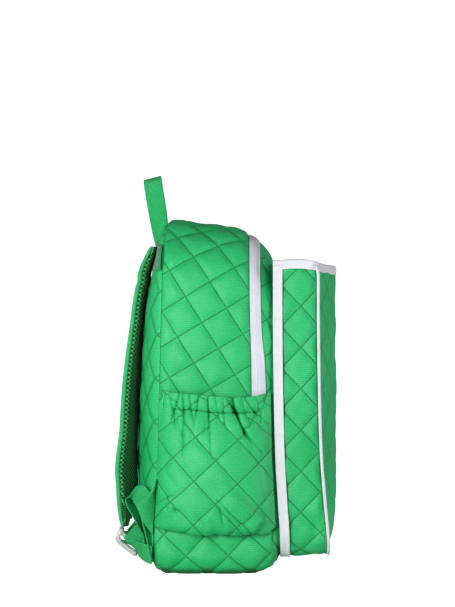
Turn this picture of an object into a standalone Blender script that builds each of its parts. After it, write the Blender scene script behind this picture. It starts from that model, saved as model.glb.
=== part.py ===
# A quilted backpack with a flat sleeve pocket in front, standing upright on its base.
# Sizes are in metres. X runs across the bag, Y from its front (-Y) to its back (+Y), Z up from the base.
import math
from collections import namedtuple

import bmesh
import bpy
from mathutils import Vector

# Body
BODY_HEIGHT = 0.463
BODY_WIDTH = 0.300
BODY_DEPTH = 0.150
BODY_WALL = 0.003
BODY_TOP_ROUND = 0.090
BODY_TOP_SPREAD = 0.082
BODY_TOP_CROWN = 0.005
BODY_BASE_ROUND = 0.028
BODY_SIDE_BOW = 0.005
BODY_FRONT_CROWN = 0.003
FIT_GAP = 0.0004

# Back panel and its yoke
BACK_BULGE = 0.0188
BACK_PAD = 0.008
BACK_EDGE = 0.004
YOKE_HEIGHT = 0.033
YOKE_BELOW_TOP = 0.033
YOKE_WALL = 0.002
YOKE_GAP = 0.0006
YOKE_SHARE = 0.975
YOKE_LEAD = 0.0083
BACK_ROUNDNESS = 3.2

# Zip
ZIP_BEHIND_POCKET = 0.004
ZIP_TAPE = 0.0016
ZIP_INSET = 0.0006
ZIP_CLEAR = 0.0010
SLIDER_LENGTH = 0.012
SLIDER_WIDTH = 0.008
SLIDER_HEIGHT = 0.0035
PULL_LENGTH = 0.034
PULL_WIDTH = 0.007
PULL_THICKNESS = 0.0016
PULL_EDGE = 0.0004

# Front sleeve
SLEEVE_MOUTH_HEIGHT = 0.406
SLEEVE_MOUTH_DROP = 0.006
SLEEVE_SIDE_DEPTH = 0.052
SLEEVE_CROWN = 0.026
SLEEVE_WALL = 0.0028
SEAM_BINDING_WIDTH = 0.0125
BINDING_THICKNESS = 0.0018
BINDING_CLEAR = 0.0012
MOUTH_BINDING_HEIGHT = 0.0095
PIPING_DIAMETER = 0.0042
PIPING_BELOW_BINDING = 0.0012
SLEEVE_ROUNDNESS = 2.4
MOUTH_ROUNDNESS = 6
MOUTH_DROP_POWER = 8

# Side pockets
POCKET_TOP_HEIGHT = 0.236
POCKET_BASE_HEIGHT = 0.064
ZIP_END_HEIGHT = POCKET_TOP_HEIGHT - ZIP_BEHIND_POCKET
POCKET_HEM = 0.021
POCKET_BULGE = 0.026
POCKET_OVERHANG = 0.009
POCKET_WALL = 0.0022
POCKET_SAG = 0.006
POCKET_BACK_SHARE = 0.015
POCKET_FRONT_SHARE = 0.93
GATHER_DEPTH = 0.0038
GATHER_REACH = 0.048
GATHER_SHARE = 0.028
POCKET_CLEAR = 0.0012
POCKET_ROUNDNESS = 3.4
POCKET_SAG_START = 0.8

# Haul loop
LOOP_WEBBING = 0.024
LOOP_THICKNESS = 0.0024
LOOP_SPAN = 0.066
LOOP_RISE = 0.088
LOOP_LEAN = 0.007
LOOP_SEWN = 0.0315

# Shoulder straps
STRAP_WIDTH = 0.066
STRAP_THICKNESS = 0.0050
STRAP_MESH = 0.0044
STRAP_MESH_WIDTH = 0.062
STRAP_SPREAD = 0.086
STRAP_LIFT = 0.0185
STRAP_BELOW_TOP = 0.039
STRAP_CLEAR = 0.0008
PAD_UNDER_SHARE = 0.3

# Webbing and buckles at the lower ends of the straps
WEBBING_WIDTH = 0.025
WEBBING_THICKNESS = 0.0016
BUCKLE_SLACK = 0.0016
BUCKLE_LENGTH = 0.036
BUCKLE_BAR = 0.0046
BUCKLE_ARM_SHARE = 0.8
BUCKLE_CROSS_SHARE = 0.7
BUCKLE_BAR_TILT = 0.6
BUCKLE_BELOW_STRAP = 0.0202
TAB_HEIGHT = 0.074
TAB_BASE_HEIGHT = 0.046
TAB_REACH = 0.0115
TAB_THICKNESS = 0.0020
TAB_CLEAR = 0.0008
TAIL_LOOP = 0.060
WEB_CORNER = 0.025
WEB_BOW = 0.005
WEB_CLEAR = 0.0016
WEB_END_BACK = 0.0026
WEB_END_DOWN = 0.0014

# The body's two seams: how far back and how far forward they lie, as shares of the body's depth.
SeamRow = namedtuple("SeamRow", "height back front")
SEAMS = [
    SeamRow(0.00, 0.513, -0.640),
    SeamRow(0.12, 0.510, -0.627),
    SeamRow(0.20, 0.493, -0.610),
    SeamRow(0.35, 0.473, -0.585),
    SeamRow(0.55, 0.458, -0.572),
    SeamRow(0.75, 0.443, -0.567),
    SeamRow(0.91, 0.427, -0.567),
    SeamRow(1.00, 0.392, -0.567),
]

# Sections of the body from its back seam to its front seam. Half width is a share of the body's half width,
# top and base are shares of its height, and the rounds are shares of its top and base rounds.
BodyRow = namedtuple("BodyRow", "depth half_width top base top_round base_round")
BODY_SECTIONS = [
    BodyRow(0.00, 0.933, 0.984, 0.030, 0.96, 0.95),
    BodyRow(0.03, 0.957, 0.995, 0.014, 0.98, 0.97),
    BodyRow(0.13, 0.983, 1.000, 0.000, 1.00, 1.00),
    BodyRow(0.30, 0.997, 0.991, 0.000, 1.00, 1.00),
    BodyRow(0.50, 1.000, 0.985, 0.000, 1.00, 1.00),
    BodyRow(0.66, 0.993, 0.975, 0.000, 1.00, 1.00),
    BodyRow(0.77, 0.983, 0.960, 0.002, 0.99, 1.03),
    BodyRow(0.86, 0.963, 0.941, 0.020, 0.96, 1.10),
    BodyRow(0.93, 0.935, 0.913, 0.036, 0.91, 1.20),
    BodyRow(0.96, 0.913, 0.895, 0.052, 0.88, 1.28),
    BodyRow(1.00, 0.913, 0.862, 0.052, 0.82, 1.28),
]

# The zip's back and front edges, as shares of the way from the back seam to the front seam.
ZipRow = namedtuple("ZipRow", "height back front")
ZIP_EDGES = [
    ZipRow(0.50, 0.775, 0.888),
    ZipRow(0.60, 0.773, 0.880),
    ZipRow(0.68, 0.767, 0.858),
    ZipRow(0.80, 0.758, 0.850),
    ZipRow(1.00, 0.752, 0.843),
]

# How far the back panel bulges at each height, as a share of its bulge.
BulgeRow = namedtuple("BulgeRow", "height bulge")
BACK_BULGES = [
    BulgeRow(0.00, 0.00),
    BulgeRow(0.06, 0.14),
    BulgeRow(0.14, 0.45),
    BulgeRow(0.25, 0.80),
    BulgeRow(0.32, 0.97),
    BulgeRow(0.43, 1.00),
    BulgeRow(0.55, 0.94),
    BulgeRow(0.68, 0.82),
    BulgeRow(0.76, 0.68),
    BulgeRow(0.85, 0.33),
    BulgeRow(0.92, 0.08),
    BulgeRow(1.00, 0.00),
]

# The sleeve from its base to its mouth: the depth of its sides and its crown as shares of those sizes.
SleeveRow = namedtuple("SleeveRow", "height side crown")
SLEEVE_SECTIONS = [
    SleeveRow(0.00, 1.06, 0.02),
    SleeveRow(0.03, 1.06, 0.16),
    SleeveRow(0.09, 1.05, 0.42),
    SleeveRow(0.20, 1.03, 0.72),
    SleeveRow(0.38, 1.00, 0.92),
    SleeveRow(0.65, 0.99, 1.00),
    SleeveRow(1.00, 0.98, 0.98),
]

# How far a side pocket stands off the body, from its base seam over the bulge to its hem, as a share of the
# bulge. Drop is how far the cloth hangs below its seam, as a share of the overhang.
PocketRow = namedtuple("PocketRow", "height bulge drop")
POCKET_ROWS = [
    PocketRow(0.00, 0.04, 0.00),
    PocketRow(0.00, 0.42, 0.85),
    PocketRow(0.03, 0.78, 0.70),
    PocketRow(0.09, 0.92, 0.15),
    PocketRow(0.20, 1.00, 0.00),
    PocketRow(0.36, 0.98, 0.00),
    PocketRow(0.54, 0.86, 0.00),
    PocketRow(0.70, 0.66, 0.00),
    PocketRow(0.81, 0.46, 0.00),
    PocketRow(0.87, 0.34, 0.00),
    PocketRow(0.93, 0.40, 0.00),
    PocketRow(1.00, 0.36, 0.00),
]

# Gathers under the elastic: place along the pocket from back to front, depth and reach as shares.
Gather = namedtuple("Gather", "place depth reach")
GATHERS = [
    Gather(0.08, 0.7, 0.5),
    Gather(0.16, 0.9, 0.7),
    Gather(0.25, 0.6, 0.5),
    Gather(0.36, 0.4, 0.9),
    Gather(0.48, 1.0, 0.6),
    Gather(0.58, 0.4, 0.5),
    Gather(0.68, 1.0, 1.0),
    Gather(0.77, 0.6, 0.7),
    Gather(0.87, 1.0, 0.6),
    Gather(0.95, 0.5, 0.4),
]

# A strap from its top to the buckle. Height is a share of the strap's top height, spread of how far out it
# lies, width and thick of its sizes, lift of how far it stands off the back. Tilt is its twist in degrees.
StrapRow = namedtuple("StrapRow", "height spread width thick lift tilt")
STRAP_ROWS = [
    StrapRow(1.000, 0.50, 0.90, 0.45, 0.00, 2.0),
    StrapRow(0.985, 0.51, 0.95, 0.80, 0.00, 2.2),
    StrapRow(0.945, 0.53, 1.00, 1.00, 0.00, 3.8),
    StrapRow(0.875, 0.57, 1.00, 1.00, 0.00, 5.2),
    StrapRow(0.785, 0.63, 1.00, 1.00, 0.00, 5.4),
    StrapRow(0.690, 0.70, 1.00, 1.00, 0.00, 7.7),
    StrapRow(0.570, 0.79, 1.00, 1.00, 0.00, 10.3),
    StrapRow(0.450, 0.88, 1.00, 1.00, 0.00, 11.4),
    StrapRow(0.360, 0.95, 1.00, 1.00, 0.00, 15.2),
    StrapRow(0.290, 0.99, 0.97, 1.00, 0.02, 17.4),
    StrapRow(0.220, 1.00, 0.86, 1.00, 0.32, 14.2),
    StrapRow(0.170, 1.00, 0.64, 0.85, 0.73, 9.0),
    StrapRow(0.142, 1.00, 0.46, 0.60, 1.00, 5.0),
]

# Half of the haul loop, from where it is sewn to the middle of its top. Across is a share of half its span,
# rise of its rise, lean of its lean, and turn is how far its face has turned from the back panel, in degrees.
LoopRow = namedtuple("LoopRow", "across rise lean turn")
LOOP_ROWS = [
    LoopRow(0.84, 0.00, 0.00, 0.0),
    LoopRow(0.88, 0.20, -0.02, 14.0),
    LoopRow(0.94, 0.36, 0.00, 44.0),
    LoopRow(0.99, 0.50, 0.05, 74.0),
    LoopRow(1.00, 0.70, 0.45, 88.0),
    LoopRow(0.92, 0.88, 0.85, 90.0),
    LoopRow(0.68, 0.97, 1.00, 90.0),
    LoopRow(0.34, 1.00, 1.04, 90.0),
    LoopRow(0.00, 1.01, 1.05, 90.0),
]

# A buckle's bent side arms from their top to their foot: how high and how far back, as shares of its length.
BuckleRow = namedtuple("BuckleRow", "up back")
BUCKLE_ROWS = [
    BuckleRow(0.45, 0.056),
    BuckleRow(0.14, 0.222),
    BuckleRow(-0.20, -0.083),
    BuckleRow(-0.46, -0.444),
]

# One long edge of a strap's pad and of its mesh: how far in it lies, as a share of the pad's thickness or of
# the mesh's margin, and how deep, as a share of the pad's or the mesh's thickness.
EdgeRow = namedtuple("EdgeRow", "inward deep")
PAD_EDGE = [EdgeRow(0.0, 0.5), EdgeRow(0.2, 0.12), EdgeRow(0.8, 0.0)]
MESH_EDGE = [EdgeRow(1.0, 0.0), EdgeRow(1.2, 0.5), EdgeRow(2.0, 1.0)]

# The loose end of the strap's webbing, from the buckle up over its fold and down again. Out, back and up are
# shares of the tail's loop, measured from the buckle. Face gives the way the ribbon's width points.
TailRow = namedtuple("TailRow", "out back up face_out face_back face_up")
TAIL_ROWS = [
    TailRow(0.02, -0.07, 0.11, -1.00, 0.00, 0.00),
    TailRow(0.08, -0.13, 0.20, -0.85, 0.10, 0.45),
    TailRow(0.24, -0.16, 0.40, -0.72, -0.25, 0.55),
    TailRow(0.44, -0.13, 0.66, -0.66, -0.45, 0.45),
    TailRow(0.62, -0.12, 0.88, -0.60, -0.55, 0.45),
    TailRow(0.80, -0.18, 1.00, -0.55, -0.62, 0.45),
    TailRow(0.97, -0.26, 0.95, -0.55, -0.62, 0.42),
    TailRow(1.10, -0.33, 0.72, -0.55, -0.55, 0.36),
    TailRow(1.17, -0.38, 0.46, -0.52, -0.50, 0.24),
    TailRow(1.20, -0.42, 0.20, -0.50, -0.50, 0.16),
]

# The webbing from the body's corner to the buckle: how far along it each row is, how far it bows out and back
# as shares of its bow, and the way its width points.
WebRow = namedtuple("WebRow", "along out back face_out face_back face_up")
WEB_ROWS = [
    WebRow(0.00, 0.0, 0.0, 0.00, 0.20, 1.00),
    WebRow(0.12, 0.9, 0.7, 0.02, 0.20, 1.00),
    WebRow(0.26, 1.3, 0.8, 0.10, 0.15, 0.95),
    WebRow(0.50, 0.8, -0.5, 0.55, 0.08, 0.75),
    WebRow(0.72, -0.8, -1.5, 0.90, 0.00, 0.35),
    WebRow(0.90, -1.0, -1.3, 1.00, 0.00, 0.05),
    WebRow(1.00, 0.0, 0.0, 1.00, 0.00, 0.00),
]

# A tab of cloth in the lower back seam: how far it stands out at each share of its height.
TabRow = namedtuple("TabRow", "height reach")
TAB_ROWS = [
    TabRow(0.00, 0.15),
    TabRow(0.30, 0.62),
    TabRow(0.62, 1.00),
    TabRow(0.80, 0.55),
    TabRow(1.00, 0.06),
]

# Colour, roughness and metallic value of each material.
MATERIALS = {
    "quilted_nylon": ((0.060, 0.520, 0.170, 1.0), 0.72, 0.0),
    "green_webbing": ((0.050, 0.420, 0.150, 1.0), 0.62, 0.0),
    "spacer_mesh": ((0.012, 0.150, 0.040, 1.0), 0.85, 0.0),
    "white_grosgrain": ((0.780, 0.790, 0.830, 1.0), 0.70, 0.0),
    "white_zip_tape": ((0.800, 0.810, 0.850, 1.0), 0.55, 0.0),
    "clear_acetal": ((0.720, 0.760, 0.740, 1.0), 0.28, 0.0),
    "nickel_plate": ((0.640, 0.630, 0.610, 1.0), 0.30, 1.0),
}

# Where the rings of points lie: the body's stations along its depth or on the zip's edges, and the shares
# of each stretch at which a row of points lies.
BODY_STATIONS = [0.0, 0.03, 0.13, 0.30, 0.50, 0.66, "back", "front", 0.93, 0.96, 1.0]
LOW_SIDE_STEPS = (0.28, 0.56, 0.82)
HIGH_SIDE_STEPS = (0.33, 0.66, 1.0)
YOKE_STEPS = (1.0, 0.66, 0.33, 0.0)
SLEEVE_SIDE_STEPS = (0.08, 0.2, 0.36, 0.52, 0.68, 0.84, 1.0)
MOUTH_STEPS = (0.0, 0.33, 0.66)

# Mesh steps
BASE_COLUMNS = 4
BACK_COLUMNS = 12
BASE_ARC_STEPS = 4
TOP_ARC_STEPS = 8
POCKET_COLUMNS = 30
SLEEVE_COLUMNS = 10
STRAP_STEPS = 24
LOOP_STEPS = 14
TAIL_STEPS = 22
WEB_STEPS = 12
SIDES = (("left", -1), ("right", 1))


def clear_scene():
    for thing in list(bpy.data.objects):
        bpy.data.objects.remove(thing, do_unlink=True)


def table_value(rows, column, at):
    """Reads a column at a place along the table's first column, along a smooth curve through its rows."""
    key = rows[0]._fields[0]
    places = [getattr(row, key) for row in rows]
    values = [getattr(row, column) for row in rows]
    if at <= places[0]:
        return values[0]
    if at >= places[-1]:
        return values[-1]
    last = max(i for i, place in enumerate(places) if place <= at)
    slopes = [table_slope(places, values, i) for i in (last, last + 1)]
    span = places[last + 1] - places[last]
    t = (at - places[last]) / span
    start = (2 * t**3 - 3 * t**2 + 1) * values[last] + (t**3 - 2 * t**2 + t) * span * slopes[0]
    end = (3 * t**2 - 2 * t**3) * values[last + 1] + (t**3 - t**2) * span * slopes[1]
    return start + end


def table_slope(places, values, i):
    """The slope at a row, level where the values turn, so that the curve never overshoots them."""
    steps = []
    for a, b in ((i - 1, i), (i, i + 1)):
        if a >= 0 and b < len(places):
            steps.append((values[b] - values[a]) / (places[b] - places[a]))
    if len(steps) == 2 and steps[0] * steps[1] <= 0:
        return 0.0
    if len(steps) == 2:
        return 2 * steps[0] * steps[1] / (steps[0] + steps[1])
    return steps[0]


def material_named(name):
    found = bpy.data.materials.get(name)
    if found:
        return found
    colour, roughness, metallic = MATERIALS[name]
    made = bpy.data.materials.new(name)
    made.use_nodes = True
    made.diffuse_color = colour
    shader = made.node_tree.nodes["Principled BSDF"]
    shader.inputs["Base Color"].default_value = colour
    shader.inputs["Roughness"].default_value = roughness
    shader.inputs["Metallic"].default_value = metallic
    return made


def add_object(name, points, faces, material, parent, smooth_angle=40):
    mesh = bpy.data.meshes.new(name)
    mesh.from_pydata([tuple(p) for p in points], [], faces)
    shape = bmesh.new()
    shape.from_mesh(mesh)
    bmesh.ops.remove_doubles(shape, verts=shape.verts, dist=0.00001)
    bmesh.ops.recalc_face_normals(shape, faces=shape.faces)
    shape.to_mesh(mesh)
    shape.free()
    mesh.shade_smooth()
    mesh.set_sharp_from_angle(angle=math.radians(smooth_angle))
    mesh.materials.append(material_named(material))
    made = bpy.data.objects.new(name, mesh)
    bpy.context.collection.objects.link(made)
    made.parent = parent
    return made


def grid_faces(rows, columns, first=0, closed=False, skip=()):
    """Faces of a grid whose points are listed row after row."""
    faces = []
    for r in range(rows - 1):
        for c in range(columns if closed else columns - 1):
            if (r, c) in skip:
                continue
            d = (c + 1) % columns
            corners = (r * columns + c, r * columns + d, (r + 1) * columns + d, (r + 1) * columns + c)
            faces.append(tuple(first + corner for corner in corners))
    return faces


def plate_faces(faces, count):
    """Closes a sheet into a plate: the same faces turned over on the second set of points, and its edge."""
    under = [tuple(count + i for i in reversed(face)) for face in faces]
    edges = {}
    for face in faces:
        for a, b in zip(face, face[1:] + face[:1]):
            edges[(a, b)] = edges.get((a, b), 0) + 1
    rim = [(b, a, a + count, b + count) for a, b in edges if (b, a) not in edges]
    return list(faces) + under + rim


def add_plate(name, outer, inner, faces, material, parent):
    """A closed plate between two sheets of points that share their faces."""
    return add_object(name, list(outer) + list(inner), plate_faces(faces, len(outer)), material, parent)


def body_edges(height):
    """How far back and how far forward the body's seams lie at a height."""
    share = height / BODY_HEIGHT
    return BODY_DEPTH * table_value(SEAMS, "back", share), BODY_DEPTH * table_value(SEAMS, "front", share)


def body_y(depth, height):
    back, front = body_edges(height)
    return back + (front - back) * depth


def body_section(depth):
    """Half width, top, base, top round, top spread and base round of the body at a share of its depth."""
    half = BODY_WIDTH / 2 * table_value(BODY_SECTIONS, "half_width", depth)
    top = BODY_HEIGHT * table_value(BODY_SECTIONS, "top", depth) - BODY_TOP_CROWN
    base = BODY_HEIGHT * table_value(BODY_SECTIONS, "base", depth)
    top_share = table_value(BODY_SECTIONS, "top_round", depth)
    base_round = BODY_BASE_ROUND * table_value(BODY_SECTIONS, "base_round", depth)
    return half, top, base, BODY_TOP_ROUND * top_share, BODY_TOP_SPREAD * top_share, base_round


def side_bow(height):
    return BODY_SIDE_BOW * math.sin(math.pi * min(max(height / BODY_HEIGHT, 0), 1))


def body_half_width(depth, height):
    """Half the body's width at a share of its depth and a height."""
    half, top, base, top_round, top_spread, base_round = body_section(depth)
    if height < base + base_round:
        down = min(1.0, (base + base_round - height) / base_round)
        return half - base_round * (1 - math.sqrt(1 - down**2)) + side_bow(height)
    if height > top - top_round:
        up = min(1.0, (height - top + top_round) / top_round)
        return half - top_spread * (1 - math.sqrt(1 - up**2)) + side_bow(height)
    return half + side_bow(height)


def body_rows(depth):
    """Half widths and heights up the body's outline, from the edge of its base to the edge of its top."""
    _, top, base, top_round, _, base_round = body_section(depth)
    heights = []
    for i in range(BASE_ARC_STEPS + 1):
        heights.append(base + base_round * (1 - math.cos(math.pi / 2 * i / BASE_ARC_STEPS)))
    low, high = heights[-1], top - top_round
    heights += [low + (ZIP_END_HEIGHT - low) * share for share in LOW_SIDE_STEPS]
    heights.append(ZIP_END_HEIGHT)
    heights += [ZIP_END_HEIGHT + (high - ZIP_END_HEIGHT) * share for share in HIGH_SIDE_STEPS]
    for i in range(1, TOP_ARC_STEPS + 1):
        heights.append(high + top_round * math.sin(math.pi / 2 * i / TOP_ARC_STEPS))
    rows = [(body_half_width(depth, height), height, 0.0) for height in heights]
    return rows[:-1] + [(*rows[-1][:2], BODY_TOP_CROWN)]


def row_place(u, row):
    """A place across a row, whose middle is raised by the row's crown."""
    half, height, crown = row
    return half * u, height + crown * (1 - u**2)


def ring_of(rows, columns):
    """Goes round an outline given by its rows: along the base, up one side, along the top, down the other."""
    across = [2 * c / columns - 1 for c in range(columns + 1)]
    ring = [row_place(u, rows[0]) for u in across]
    ring += [row_place(1, row) for row in rows[1:]]
    ring += [row_place(u, rows[-1]) for u in reversed(across[:-1])]
    ring += [row_place(-1, row) for row in reversed(rows[1:-1])]
    return ring


def zip_depth(edge, height):
    return table_value(ZIP_EDGES, edge, height / BODY_HEIGHT)


def body_ring(station):
    """The body's outline in space at a station, which is a share of its depth or an edge of the zip."""
    if station not in ("back", "front"):
        return [Vector((x, body_y(station, z), z)) for x, z in ring_of(body_rows(station), BASE_COLUMNS)]
    first = ring_of(body_rows(zip_depth(station, BODY_HEIGHT)), BASE_COLUMNS)
    points = []
    for i, (_, height) in enumerate(first):
        depth = zip_depth(station, height)
        x, z = ring_of(body_rows(depth), BASE_COLUMNS)[i]
        points.append(Vector((x, body_y(depth, z), z)))
    return points


def zip_columns():
    """Ring steps that the zip's slot runs through: those between its two lower ends."""
    rows = body_rows(0.5)
    end = next(i for i, row in enumerate(rows) if abs(row[1] - ZIP_END_HEIGHT) < FIT_GAP)
    count = len(ring_of(rows, BASE_COLUMNS))
    return BASE_COLUMNS + end, count - end


def panel_grid(rows, columns, place):
    """Fills an outline with rows of points. place turns an across share and a row into a point."""
    points = []
    for row in rows:
        for c in range(columns + 1):
            points.append(place(2 * c / columns - 1, row))
    return points, grid_faces(len(rows), columns + 1)


def make_main_shell(parent):
    rings = [body_ring(station) for station in BODY_STATIONS]
    count = len(rings[0])
    first, last = zip_columns()
    slot = {(BODY_STATIONS.index("back"), c) for c in range(first, last)}
    points = [point for ring in rings for point in ring]
    faces = grid_faces(len(rings), count, closed=True, skip=slot)
    front_rows = body_rows(1.0)
    start = len(points)

    def front_wall(u, row):
        x, height = row_place(u, row)
        middle = (front_rows[-1][1] + front_rows[0][1]) / 2
        upright = (height - middle) / (front_rows[-1][1] - middle)
        crown = BODY_FRONT_CROWN * (1 - u**2) * max(0.0, 1 - upright**4)
        return Vector((x, body_y(1.0, height) - crown, height))

    wall, wall_faces = panel_grid(front_rows, BASE_COLUMNS, front_wall)
    points += wall
    faces += [tuple(start + i for i in face) for face in wall_faces]
    shell = add_object("main_shell", points, faces, "quilted_nylon", parent)
    wall = shell.modifiers.new("wall", "SOLIDIFY")
    wall.thickness = BODY_WALL
    wall.offset = -1
    wall.use_even_offset = True
    return shell


def back_surface(x, height, half):
    """The back panel's outer surface, and its inner one, at a place across and up it."""
    share = table_value(BACK_BULGES, "bulge", height / BODY_HEIGHT)
    round_off = 1 - min(1.0, abs(x) / half) ** BACK_ROUNDNESS
    inner = body_y(0.0, height) + FIT_GAP + BACK_BULGE * share * round_off
    pad = BACK_EDGE + (BACK_PAD - BACK_EDGE) * min(1.0, 2 * share) * round_off
    return inner + pad, inner


def back_place(u, row, layer):
    """A place on the back panel's outer layer, 0, or its inner one, 1."""
    x, height = row_place(math.sin(u * math.pi / 2), row)
    return Vector((x, back_surface(x, height, row[0])[layer], height))


def make_back_panel(parent):
    rows = body_rows(0.0)
    outer, faces = panel_grid(rows, BACK_COLUMNS, lambda u, row: back_place(u, row, 0))
    inner, _ = panel_grid(rows, BACK_COLUMNS, lambda u, row: back_place(u, row, 1))
    return add_plate("back_panel", outer, inner, faces, "quilted_nylon", parent)


def make_strap_yoke(parent):
    top = BODY_HEIGHT - YOKE_BELOW_TOP
    heights = [top - YOKE_HEIGHT * share for share in YOKE_STEPS]
    rows = [(body_half_width(0.0, height) * YOKE_SHARE, height, 0.0) for height in heights]

    def lifted(u, row, lift):
        x, height = row_place(math.sin(u * math.pi / 2), row)
        return Vector((x, back_surface(x, height, row[0] / YOKE_SHARE)[0] + lift, height))

    outer, faces = panel_grid(rows, BACK_COLUMNS, lambda u, row: lifted(u, row, YOKE_GAP + YOKE_WALL))
    inner, _ = panel_grid(rows, BACK_COLUMNS, lambda u, row: lifted(u, row, YOKE_GAP))
    return add_plate("strap_yoke", outer, inner, faces, "green_webbing", parent)


def make_zip(parent):
    """The tape lies in the body's slot, a fit gap clear of its edges and a little below its surface."""
    back, front = body_ring("back"), body_ring("front")
    first, last = zip_columns()
    outer, inner = [], []
    for i in range(first, last + 1):
        a, b = back[i], front[i]
        before = (back[i - 1] + front[i - 1]) / 2
        after = (back[(i + 1) % len(back)] + front[(i + 1) % len(front)]) / 2
        across = (b - a).normalized()
        along = (after - before).normalized()
        out = along.cross(across).normalized()
        if out.dot(Vector((a.x, 0, a.z - BODY_HEIGHT / 2))) < 0:
            out.negate()
        shift = Vector()
        if i == first:
            shift = along * FIT_GAP
        if i == last:
            shift = -along * FIT_GAP
        for share in (0.0, 0.5, 1.0):
            clear = across * ZIP_CLEAR * (1 - 2 * share)
            place = a.lerp(b, share) + clear + shift
            outer.append(place - out * ZIP_INSET)
            inner.append(place - out * (ZIP_INSET + ZIP_TAPE))
    faces = grid_faces(last - first + 1, 3)
    return add_plate("zip_tape", outer, inner, faces, "white_zip_tape", parent)


def make_zip_slider(parent):
    """A plain slider and pull at the lower end of the zip, on the bag's right side."""
    height = ZIP_END_HEIGHT + SLIDER_LENGTH
    depth = (zip_depth("back", height) + zip_depth("front", height)) / 2
    x = body_half_width(depth, height)
    y = body_y(depth, height)
    foot = x + FIT_GAP
    boxes = [
        ((foot, y, height), (SLIDER_HEIGHT, SLIDER_WIDTH, SLIDER_LENGTH)),
        ((foot + SLIDER_HEIGHT / 2, y, height - PULL_LENGTH / 2), (PULL_THICKNESS, PULL_WIDTH, PULL_LENGTH)),
    ]
    made = []
    for i, (centre, size) in enumerate(boxes):
        shape = bmesh.new()
        bmesh.ops.create_cube(shape, size=1)
        bmesh.ops.scale(shape, vec=size, verts=shape.verts)
        bmesh.ops.translate(shape, vec=Vector(centre) + Vector((size[0] / 2, 0, 0)), verts=shape.verts)
        mesh = bpy.data.meshes.new("slider_part")
        shape.to_mesh(mesh)
        shape.free()
        part = bpy.data.objects.new("zip_slider" if i == 0 else "pull_join", mesh)
        bpy.context.collection.objects.link(part)
        made.append(part)
    slider, pull = made
    slider.data.materials.append(material_named("nickel_plate"))
    join = slider.modifiers.new("pull", "BOOLEAN")
    join.operation = "UNION"
    join.object = pull
    pull.hide_render = True
    pull.display_type = "WIRE"
    edge = slider.modifiers.new("edge", "BEVEL")
    edge.width = PULL_EDGE
    edge.segments = 1
    slider.parent = parent
    pull.parent = parent
    return slider


def sleeve_share(height):
    base = sleeve_base()[0]
    return (height - base) / (SLEEVE_MOUTH_HEIGHT - base)


def sleeve_base():
    """The height of the sleeve's base and the round of its lower corners, both those of the body's front."""
    _, _, base, _, _, base_round = body_section(1.0)
    return base, base_round


def sleeve_half_width(height):
    """The sleeve is as wide as the front of the body, and goes straight up past its round shoulders."""
    half = body_section(1.0)[0] + side_bow(height)
    base, base_round = sleeve_base()
    down = min(max(0.0, 1 - (height - base) / base_round), 1.0)
    return half - base_round * (1 - math.sqrt(1 - down**2))


def sleeve_rows():
    base, base_round = sleeve_base()
    heights = []
    for i in range(BASE_ARC_STEPS + 1):
        heights.append(base + base_round * (1 - math.cos(math.pi / 2 * i / BASE_ARC_STEPS)))
    span = SLEEVE_MOUTH_HEIGHT - heights[-1]
    heights += [heights[-1] + span * share for share in SLEEVE_SIDE_STEPS]
    return [(sleeve_half_width(height), height, 0.0) for height in heights]


def sleeve_back_y(height):
    """Where the sleeve starts, just in front of the body's front seam."""
    return body_y(1.0, height) - FIT_GAP


def piping_y(height):
    side = SLEEVE_SIDE_DEPTH * table_value(SLEEVE_SECTIONS, "side", sleeve_share(height))
    return sleeve_back_y(height) - side


def sleeve_front(u, row):
    """A point of the sleeve's crowned front, whose mouth dips towards its middle."""
    half, height, _ = row
    share = sleeve_share(height)
    crown = SLEEVE_CROWN * table_value(SLEEVE_SECTIONS, "crown", share) * (1 - abs(u) ** SLEEVE_ROUNDNESS)
    dip = SLEEVE_MOUTH_DROP * share**MOUTH_DROP_POWER * (1 - abs(u) ** MOUTH_ROUNDNESS)
    return Vector((u * half, piping_y(height) - crown, height - dip))


def sleeve_edge_path():
    """The line of the sleeve's piping: down one side, along the base and up the other."""
    rows = sleeve_rows()
    path = [row_place(-1, row) for row in reversed(rows[1:])]
    path += [row_place(2 * c / SLEEVE_COLUMNS - 1, rows[0]) for c in range(SLEEVE_COLUMNS + 1)]
    path += [row_place(1, row) for row in rows[1:]]
    return path


def make_front_sleeve(parent):
    rows = sleeve_rows()
    points, faces = panel_grid(rows, SLEEVE_COLUMNS, sleeve_front)
    path = sleeve_edge_path()
    start = len(points)
    for share in (0.0, 0.5, 1.0):
        for x, height in path:
            y = piping_y(height) + (sleeve_back_y(height) - piping_y(height)) * share
            points.append(Vector((x, y, height)))
    faces += grid_faces(3, len(path), start)
    sleeve = add_object("front_sleeve", points, faces, "quilted_nylon", parent)
    wall = sleeve.modifiers.new("wall", "SOLIDIFY")
    wall.thickness = SLEEVE_WALL
    wall.offset = -1
    wall.use_even_offset = True
    return sleeve


def path_frames(path):
    """The direction along a path of points, at each of them."""
    count = len(path)
    along = []
    for i in range(count):
        step = path[min(i + 1, count - 1)] - path[max(i - 1, 0)]
        along.append(step.normalized())
    return along


def mitred_sides(path):
    """The level way out of a path at each point, lengthened at corners so that offsets keep their distance."""
    sides = []
    for a, b in zip(path, path[1:]):
        sides.append(Vector((b.x - a.x, b.y - a.y, 0)).cross(Vector((0, 0, 1))).normalized())
    before = sides[:1] + sides
    after = sides + sides[-1:]
    return [(a + b) / (1 + a.dot(b)) for a, b in zip(before, after)]


def outward(x, height):
    """The way out of the sleeve's outline at a point of it, across the bag and up."""
    base, base_round = sleeve_base()
    centre = sleeve_half_width(base + base_round) - base_round
    if height >= base + base_round:
        return Vector((math.copysign(1, x), 0, 0))
    if abs(x) <= centre:
        return Vector((0, 0, -1))
    return Vector((x - math.copysign(centre, x), 0, height - base - base_round)).normalized()


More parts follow.
